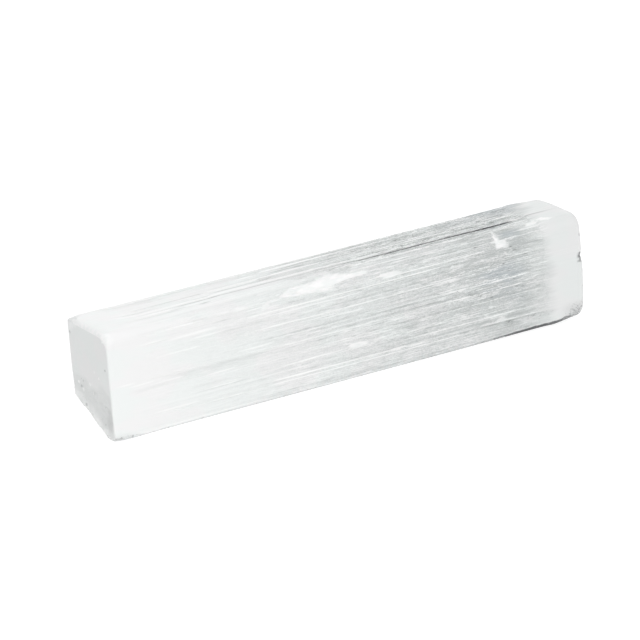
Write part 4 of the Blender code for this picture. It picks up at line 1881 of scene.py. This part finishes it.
@dataclass(frozen=True)
class SeleniteFinish:
    """Satin spar: milky white, greyer where it is clear, white where it is bruised, silky along X. Painted
    light whitens the broken end's lip and rim and the raised threads; painted shade darkens the splits,
    crack, pits, specks and lower edge.

    Attributes:
        glint: The painted highlight on the raised threads; it also shows where the grain is whiter than the
            milky stone.
        roughness: The roughness between the threads and on them.
        milky_roughness: How much rougher the milky and the bruised stone is.
        subsurface: How much light goes through the surface, and how far.
        layers: The grain, from fine grains to long streaks: each pattern's noise settings and strength.
        hairlines: The scale and the strength of each set of hair-thin lines.
        dash_strength: How strong the short light and dark dashes are. Every strength says how far the
            colour moves towards clear, or below 0 towards white.
    """

    white: Colour = (0.816, 0.838, 0.831, 1.0)
    warm_white: Colour = (0.832, 0.832, 0.832, 1.0)
    clear: Colour = (0.452, 0.474, 0.470, 1.0)
    clearest: Colour = (0.430, 0.465, 0.482, 1.0)
    glint: Colour = (0.90, 0.905, 0.90, 1.0)
    bruise_and_light: Colour = (0.83, 0.845, 0.84, 1.0)
    bright_bruise_and_light: Colour = (0.89, 0.885, 0.885, 1.0)
    # Painted shade: the near-black of the crack's floor, the pits, the dark specks and splinters, and the
    # lower edge.
    crack: Colour = (0.07, 0.073, 0.076, 1.0)
    broken: Colour = (0.70, 0.715, 0.71, 1.0)
    ior: float = 1.52
    roughness: Pair = (0.50, 0.32)
    milky_roughness: float = 0.12
    subsurface: Pair = (0.25, 1.2 * MM)
    layers: tuple[tuple[float, ...], ...] = (
        (0.8, 5400, 1, 0.5, -1.05),
        (0.5, 3000, 2, 0.6, -1.15),
        (0.22, 2300, 2, 0.6, -0.32),
        (0.0045, 3000, 2, 0.5, -0.22),
        (0.03, 620, 2, 0.5, -0.09),
    )
    hairlines: tuple[Pair, ...] = ((760, -0.3), (980, 0.25), (1500, -0.4), (1900, 0.3))
    dash_strength: float = 0.40
    crest_highlight: float = -1.5
    split_shade: float = 0.95
    bump_strength: float = 0.6
    bump_distance: float = 0.06 * MM

    def make(self) -> bpy.types.Material:
        """Builds the material.

        Returns:
            A material that reads Object coordinates and the skin's fields.
        """
        recipe = MaterialRecipe("selenite_satin")
        milky = recipe.clamp(recipe.math("ADD", recipe.field(Field.MILK), recipe.field(Field.BRUISE_AND_LIGHT)))
        rough = recipe.spread(recipe.field(Field.THREAD), 0, 1, self.roughness)
        share, depth = self.subsurface
        return recipe.dress({
            "Base Color": self._colour(recipe),
            "Roughness": recipe.scaled_sum(milky, self.milky_roughness, rough),
            "IOR": self.ior,
            "Subsurface Weight": share,
            "Subsurface Radius": (1.0, 1.0, 1.0),
            "Subsurface Scale": depth,
            "Normal": self._bump(recipe),
        })

    def _colour(self, recipe: MaterialRecipe) -> Socket:
        """The stone's colour.

        Args:
            recipe: Where the nodes are added.

        Returns:
            The colour: milky to clear, then its painted highlight, the break, the bruises with the painted
                light on the broken end, and the painted shade of the dark places.
        """
        level = self._level(recipe)
        warm = recipe.spread(recipe.noise(0.5, 150), 0.42, 0.58)
        bright = recipe.spread(recipe.noise(0.3, 900), 0.42, 0.62)
        clearest = recipe.spread(recipe.field(Field.CLEAR), 0.75, 1.15)
        milky = recipe.mix(warm, self.white, self.warm_white)
        colour = recipe.mix(recipe.clamp(level), milky, recipe.mix(clearest, self.clear, self.clearest))
        # The shares and colours of the coats, from the lowest to the topmost.
        coats = (
            # Painted highlight: the glint colour where the level falls below 0, chiefly on the raised
            # hairlines.
            (recipe.clamp(recipe.math("MULTIPLY", level, -1.2)), self.glint),
            (recipe.field(Field.BROKEN), self.broken),
            (recipe.field(Field.BRUISE_AND_LIGHT), recipe.mix(bright, self.bruise_and_light, self.bright_bruise_and_light)),
            # Painted shade: the SHADE field and the lower edge's painted shade take the near-black colour.
            (recipe.math("MAXIMUM", recipe.field(Field.SHADE), self._edge_shade_grains(recipe)), self.crack),
        )
        for share, coat in coats:
            colour = recipe.mix(share, colour, coat)
        return colour

    def _level(self, recipe: MaterialRecipe) -> Socket:
        """How far the colour lies from white towards clear: the stone's clearness, then its threads.

        Args:
            recipe: Where the nodes are added.

        Returns:
            A value that is 0 for white, 1 for clear, and below 0 where the raised threads' painted highlight,
            and the whitest grain, lift it past white.
        """
        total = recipe.scaled_sum(recipe.field(Field.THREAD), -0.10, 0.05)
        for *settings, strength in self.layers:
            pattern = recipe.math("SUBTRACT", recipe.noise(*settings), 0.5)
            total = recipe.scaled_sum(pattern, strength, total)
        for scale, strength in self.hairlines:
            total = recipe.scaled_sum(self._hairline(recipe, scale), strength, total)
        dashes = recipe.noise(0.12, 2200, 1)
        total = recipe.scaled_sum(recipe.spread(dashes, 0.60, 0.70), self.dash_strength, total)
        total = recipe.scaled_sum(recipe.spread(dashes, 0.40, 0.30), -self.dash_strength, total)
        level = recipe.scaled_sum(total, recipe.field(Field.LIVELY), recipe.field(Field.CLEAR))
        # Painted highlight: the raised hairlines are moved towards white and past it.
        level = recipe.scaled_sum(recipe.field(Field.CREST_HIGHLIGHT), self.crest_highlight, level)
        # Painted shade: the split hairlines are moved towards clear.
        return recipe.scaled_sum(recipe.field(Field.SPLIT), self.split_shade, level)

    def _edge_shade_grains(self, recipe: MaterialRecipe) -> Socket:
        """The lower edge's painted shade, broken into dark grains: solid where the UNDER field is 1, sparser
        where it is less.

        Args:
            recipe: Where the nodes are added.

        Returns:
            How dark each place is, from 0 to 1.
        """
        under = recipe.field(Field.UNDER)
        grains = recipe.spread(recipe.noise(0.55, 2500, 2, 0.6), 0.28, 0.72)
        shown = recipe.spread(recipe.math("ADD", grains, under), 0.94, 1.10)
        shown = recipe.math("MULTIPLY", shown, recipe.math("POWER", under, 0.6))
        faint = recipe.math("MULTIPLY", under, 0.5)
        return recipe.math("MAXIMUM", recipe.math("MULTIPLY", shown, 0.95), faint)

    def _hairline(self, recipe: MaterialRecipe, scale: float) -> Socket:
        """Hair-thin lines where a noise passes its middle value, present only here and there.

        Args:
            recipe: Where the nodes are added.
            scale: How close together they are.

        Returns:
            A value from 0 to 1.
        """
        apart = recipe.math("ABSOLUTE", recipe.math("SUBTRACT", recipe.noise(0.0035, scale, 0), 0.5))
        present = recipe.spread(recipe.noise(0.09, scale * 1.5, 1), 0.44, 0.58)
        return recipe.math("MULTIPLY", recipe.spread(apart, 0.0, 0.045, (1, 0)), present)

    def _bump(self, recipe: MaterialRecipe) -> Socket:
        """Hair-fine fibres along the body and even grain on the broken end.

        Args:
            recipe: Where the nodes are added.

        Returns:
            A bumped normal.
        """
        fibres = recipe.math("MULTIPLY", recipe.noise(0.03, 4200, 2, 0.6), recipe.field(Field.FIBROUS))
        height = recipe.scaled_sum(recipe.noise(1.0, 3500, 3, 0.6), recipe.field(Field.BROKEN), fibres)
        inputs = {"Strength": self.bump_strength, "Distance": self.bump_distance, "Height": height}
        return recipe.put("ShaderNodeBump", inputs).outputs[0]


@dataclass(frozen=True)
class TableFinish:
    """A matt white table that glows a little, so that it is even right to the edges of the picture."""

    colour: Colour = (0.25, 0.25, 0.25, 1.0)
    roughness: float = 0.9
    glow: float = 0.86

    def make(self) -> bpy.types.Material:
        """Builds the material.

        Returns:
            A plain material.
        """
        return MaterialRecipe("table_white").dress({
            "Base Color": self.colour,
            "Roughness": self.roughness,
            "Specular IOR Level": 0.0,
            "Emission Color": (1.0, 1.0, 1.0, 1.0),
            "Emission Strength": self.glow,
        })


@dataclass(frozen=True)
class SoftBox:
    """A rectangular soft light that looks at the bar.

    Attributes:
        name: Its name.
        place: Where it hangs.
        size: How wide and high it is.
        watts: How strong it is.
    """

    name: str
    place: Triple
    size: Pair
    watts: float

    def hang(self) -> None:
        """Hangs the light."""
        light = bpy.data.lights.new(self.name, "AREA")
        light.shape = "RECTANGLE"
        light.size, light.size_y = self.size
        light.energy = self.watts
        lamp = bpy.data.objects.new(self.name, light)
        lamp.location = self.place
        lamp.rotation_mode = "QUATERNION"
        lamp.rotation_quaternion = Vector(self.place).to_track_quat("Z", "Y")
        lamp.visible_camera = False
        bpy.context.scene.collection.objects.link(lamp)


@dataclass
class Studio:
    """A pale table, soft lights and the camera.

    Attributes:
        surround: How bright the pale room is.
        azimuth: How far round the bar the camera stands, from the front.
        pixels_per_mm: How large a millimetre is at the middle of the bar.
        principal: Where in the picture the middle of the bar is.
    """

    floor_size: float = 6.0
    surround: float = 0.50
    lights: tuple[SoftBox, ...] = (
        SoftBox("overhead", (-0.5, -0.1, 2.1), (2.4, 1.8), 25.0),
        SoftBox("front", (0.3, -2.1, 1.1), (1.4, 1.2), 15.6),
        SoftBox("behind", (0.9, 2.2, 0.8), (2.4, 1.4), 12.0),
    )
    azimuth: float = math.radians(-28.2067)
    elevation: float = math.radians(19.0483)
    roll: float = math.radians(-4.7496)
    distance: float = 1.39249
    pixels_per_mm: float = 3.6347
    image_size: int = 640
    principal: Pair = (332.32, 316.09)
    sensor: float = 36.0
    clip: Pair = (0.05, 20.0)

    def build(self) -> None:
        """Makes the table, the lights and the camera."""
        self._table()
        self._surround()
        for light in self.lights:
            light.hang()
        self._camera()

    def _table(self) -> None:
        """A plain white table top."""
        half = self.floor_size / 2
        corners = [(-half, -half, 0), (half, -half, 0), (half, half, 0), (-half, half, 0)]
        mesh = bpy.data.meshes.new("table_top")
        mesh.from_pydata(corners, [], [(0, 1, 2, 3)])
        mesh.materials.append(TableFinish().make())
        table = bpy.data.objects.new("table_top", mesh)
        bpy.context.scene.collection.objects.link(table)

    def _surround(self) -> None:
        """A pale room all round."""
        world = bpy.data.worlds.new("studio")
        world.use_nodes = True
        colour, strength = world.node_tree.nodes["Background"].inputs[:2]
        colour.default_value = (1.0, 1.0, 1.0, 1.0)
        strength.default_value = self.surround
        bpy.context.scene.world = world

    def _camera(self) -> None:
        """The camera, rolled a little and aimed so that the bar fills the square picture."""
        a, e, r = self.azimuth, self.elevation, self.roll
        back = Vector((math.sin(a) * math.cos(e), -math.cos(a) * math.cos(e), math.sin(e)))
        level = Vector((math.cos(a), math.sin(a), 0))
        upright = back.cross(level)
        right = level * math.cos(r) + upright * math.sin(r)
        up = upright * math.cos(r) - level * math.sin(r)
        centre = (CAD_BOX[0] + CAD_BOX[1]) / 2
        aside = (self.principal[0] - self.image_size / 2) / self.pixels_per_mm * MM
        above = (self.image_size / 2 - self.principal[1]) / self.pixels_per_mm * MM
        stand = centre + back * self.distance - right * aside - up * above
        data = bpy.data.cameras.new("camera")
        data.sensor_width = self.sensor
        data.lens = self.pixels_per_mm / MM * self.distance / self.image_size * self.sensor
        data.clip_start, data.clip_end = self.clip
        camera = bpy.data.objects.new("camera", data)
        camera.matrix_world = Matrix.Translation(stand) @ Matrix((right, up, back)).transposed().to_4x4()
        bpy.context.scene.collection.objects.link(camera)
        bpy.context.scene.camera = camera


def main() -> None:
    """Builds the crystal and its studio, and reports each piece."""
    logging.basicConfig(level=logging.INFO, format="%(name)s: %(message)s")
    bpy.context.scene.view_settings.view_transform = "Standard"
    finish = SeleniteFinish().make()
    crystal = SatinSparBar().build()
    FibreRelief().press(crystal, finish)
    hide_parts("selenite_wand")
    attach(crystal, "root")
    LOG.info("%s: %d faces", crystal.name, len(crystal.data.polygons))
    for scatter in (SLIVERS, CRUMBS):
        piece = scatter.strew(crystal, finish)
        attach(piece, "root")
        LOG.info("%s: %d faces", piece.name, len(piece.data.polygons))
    Studio().build()
    LOG.info("table, lights and camera are in place")


if __name__ == "__main__":
    main()
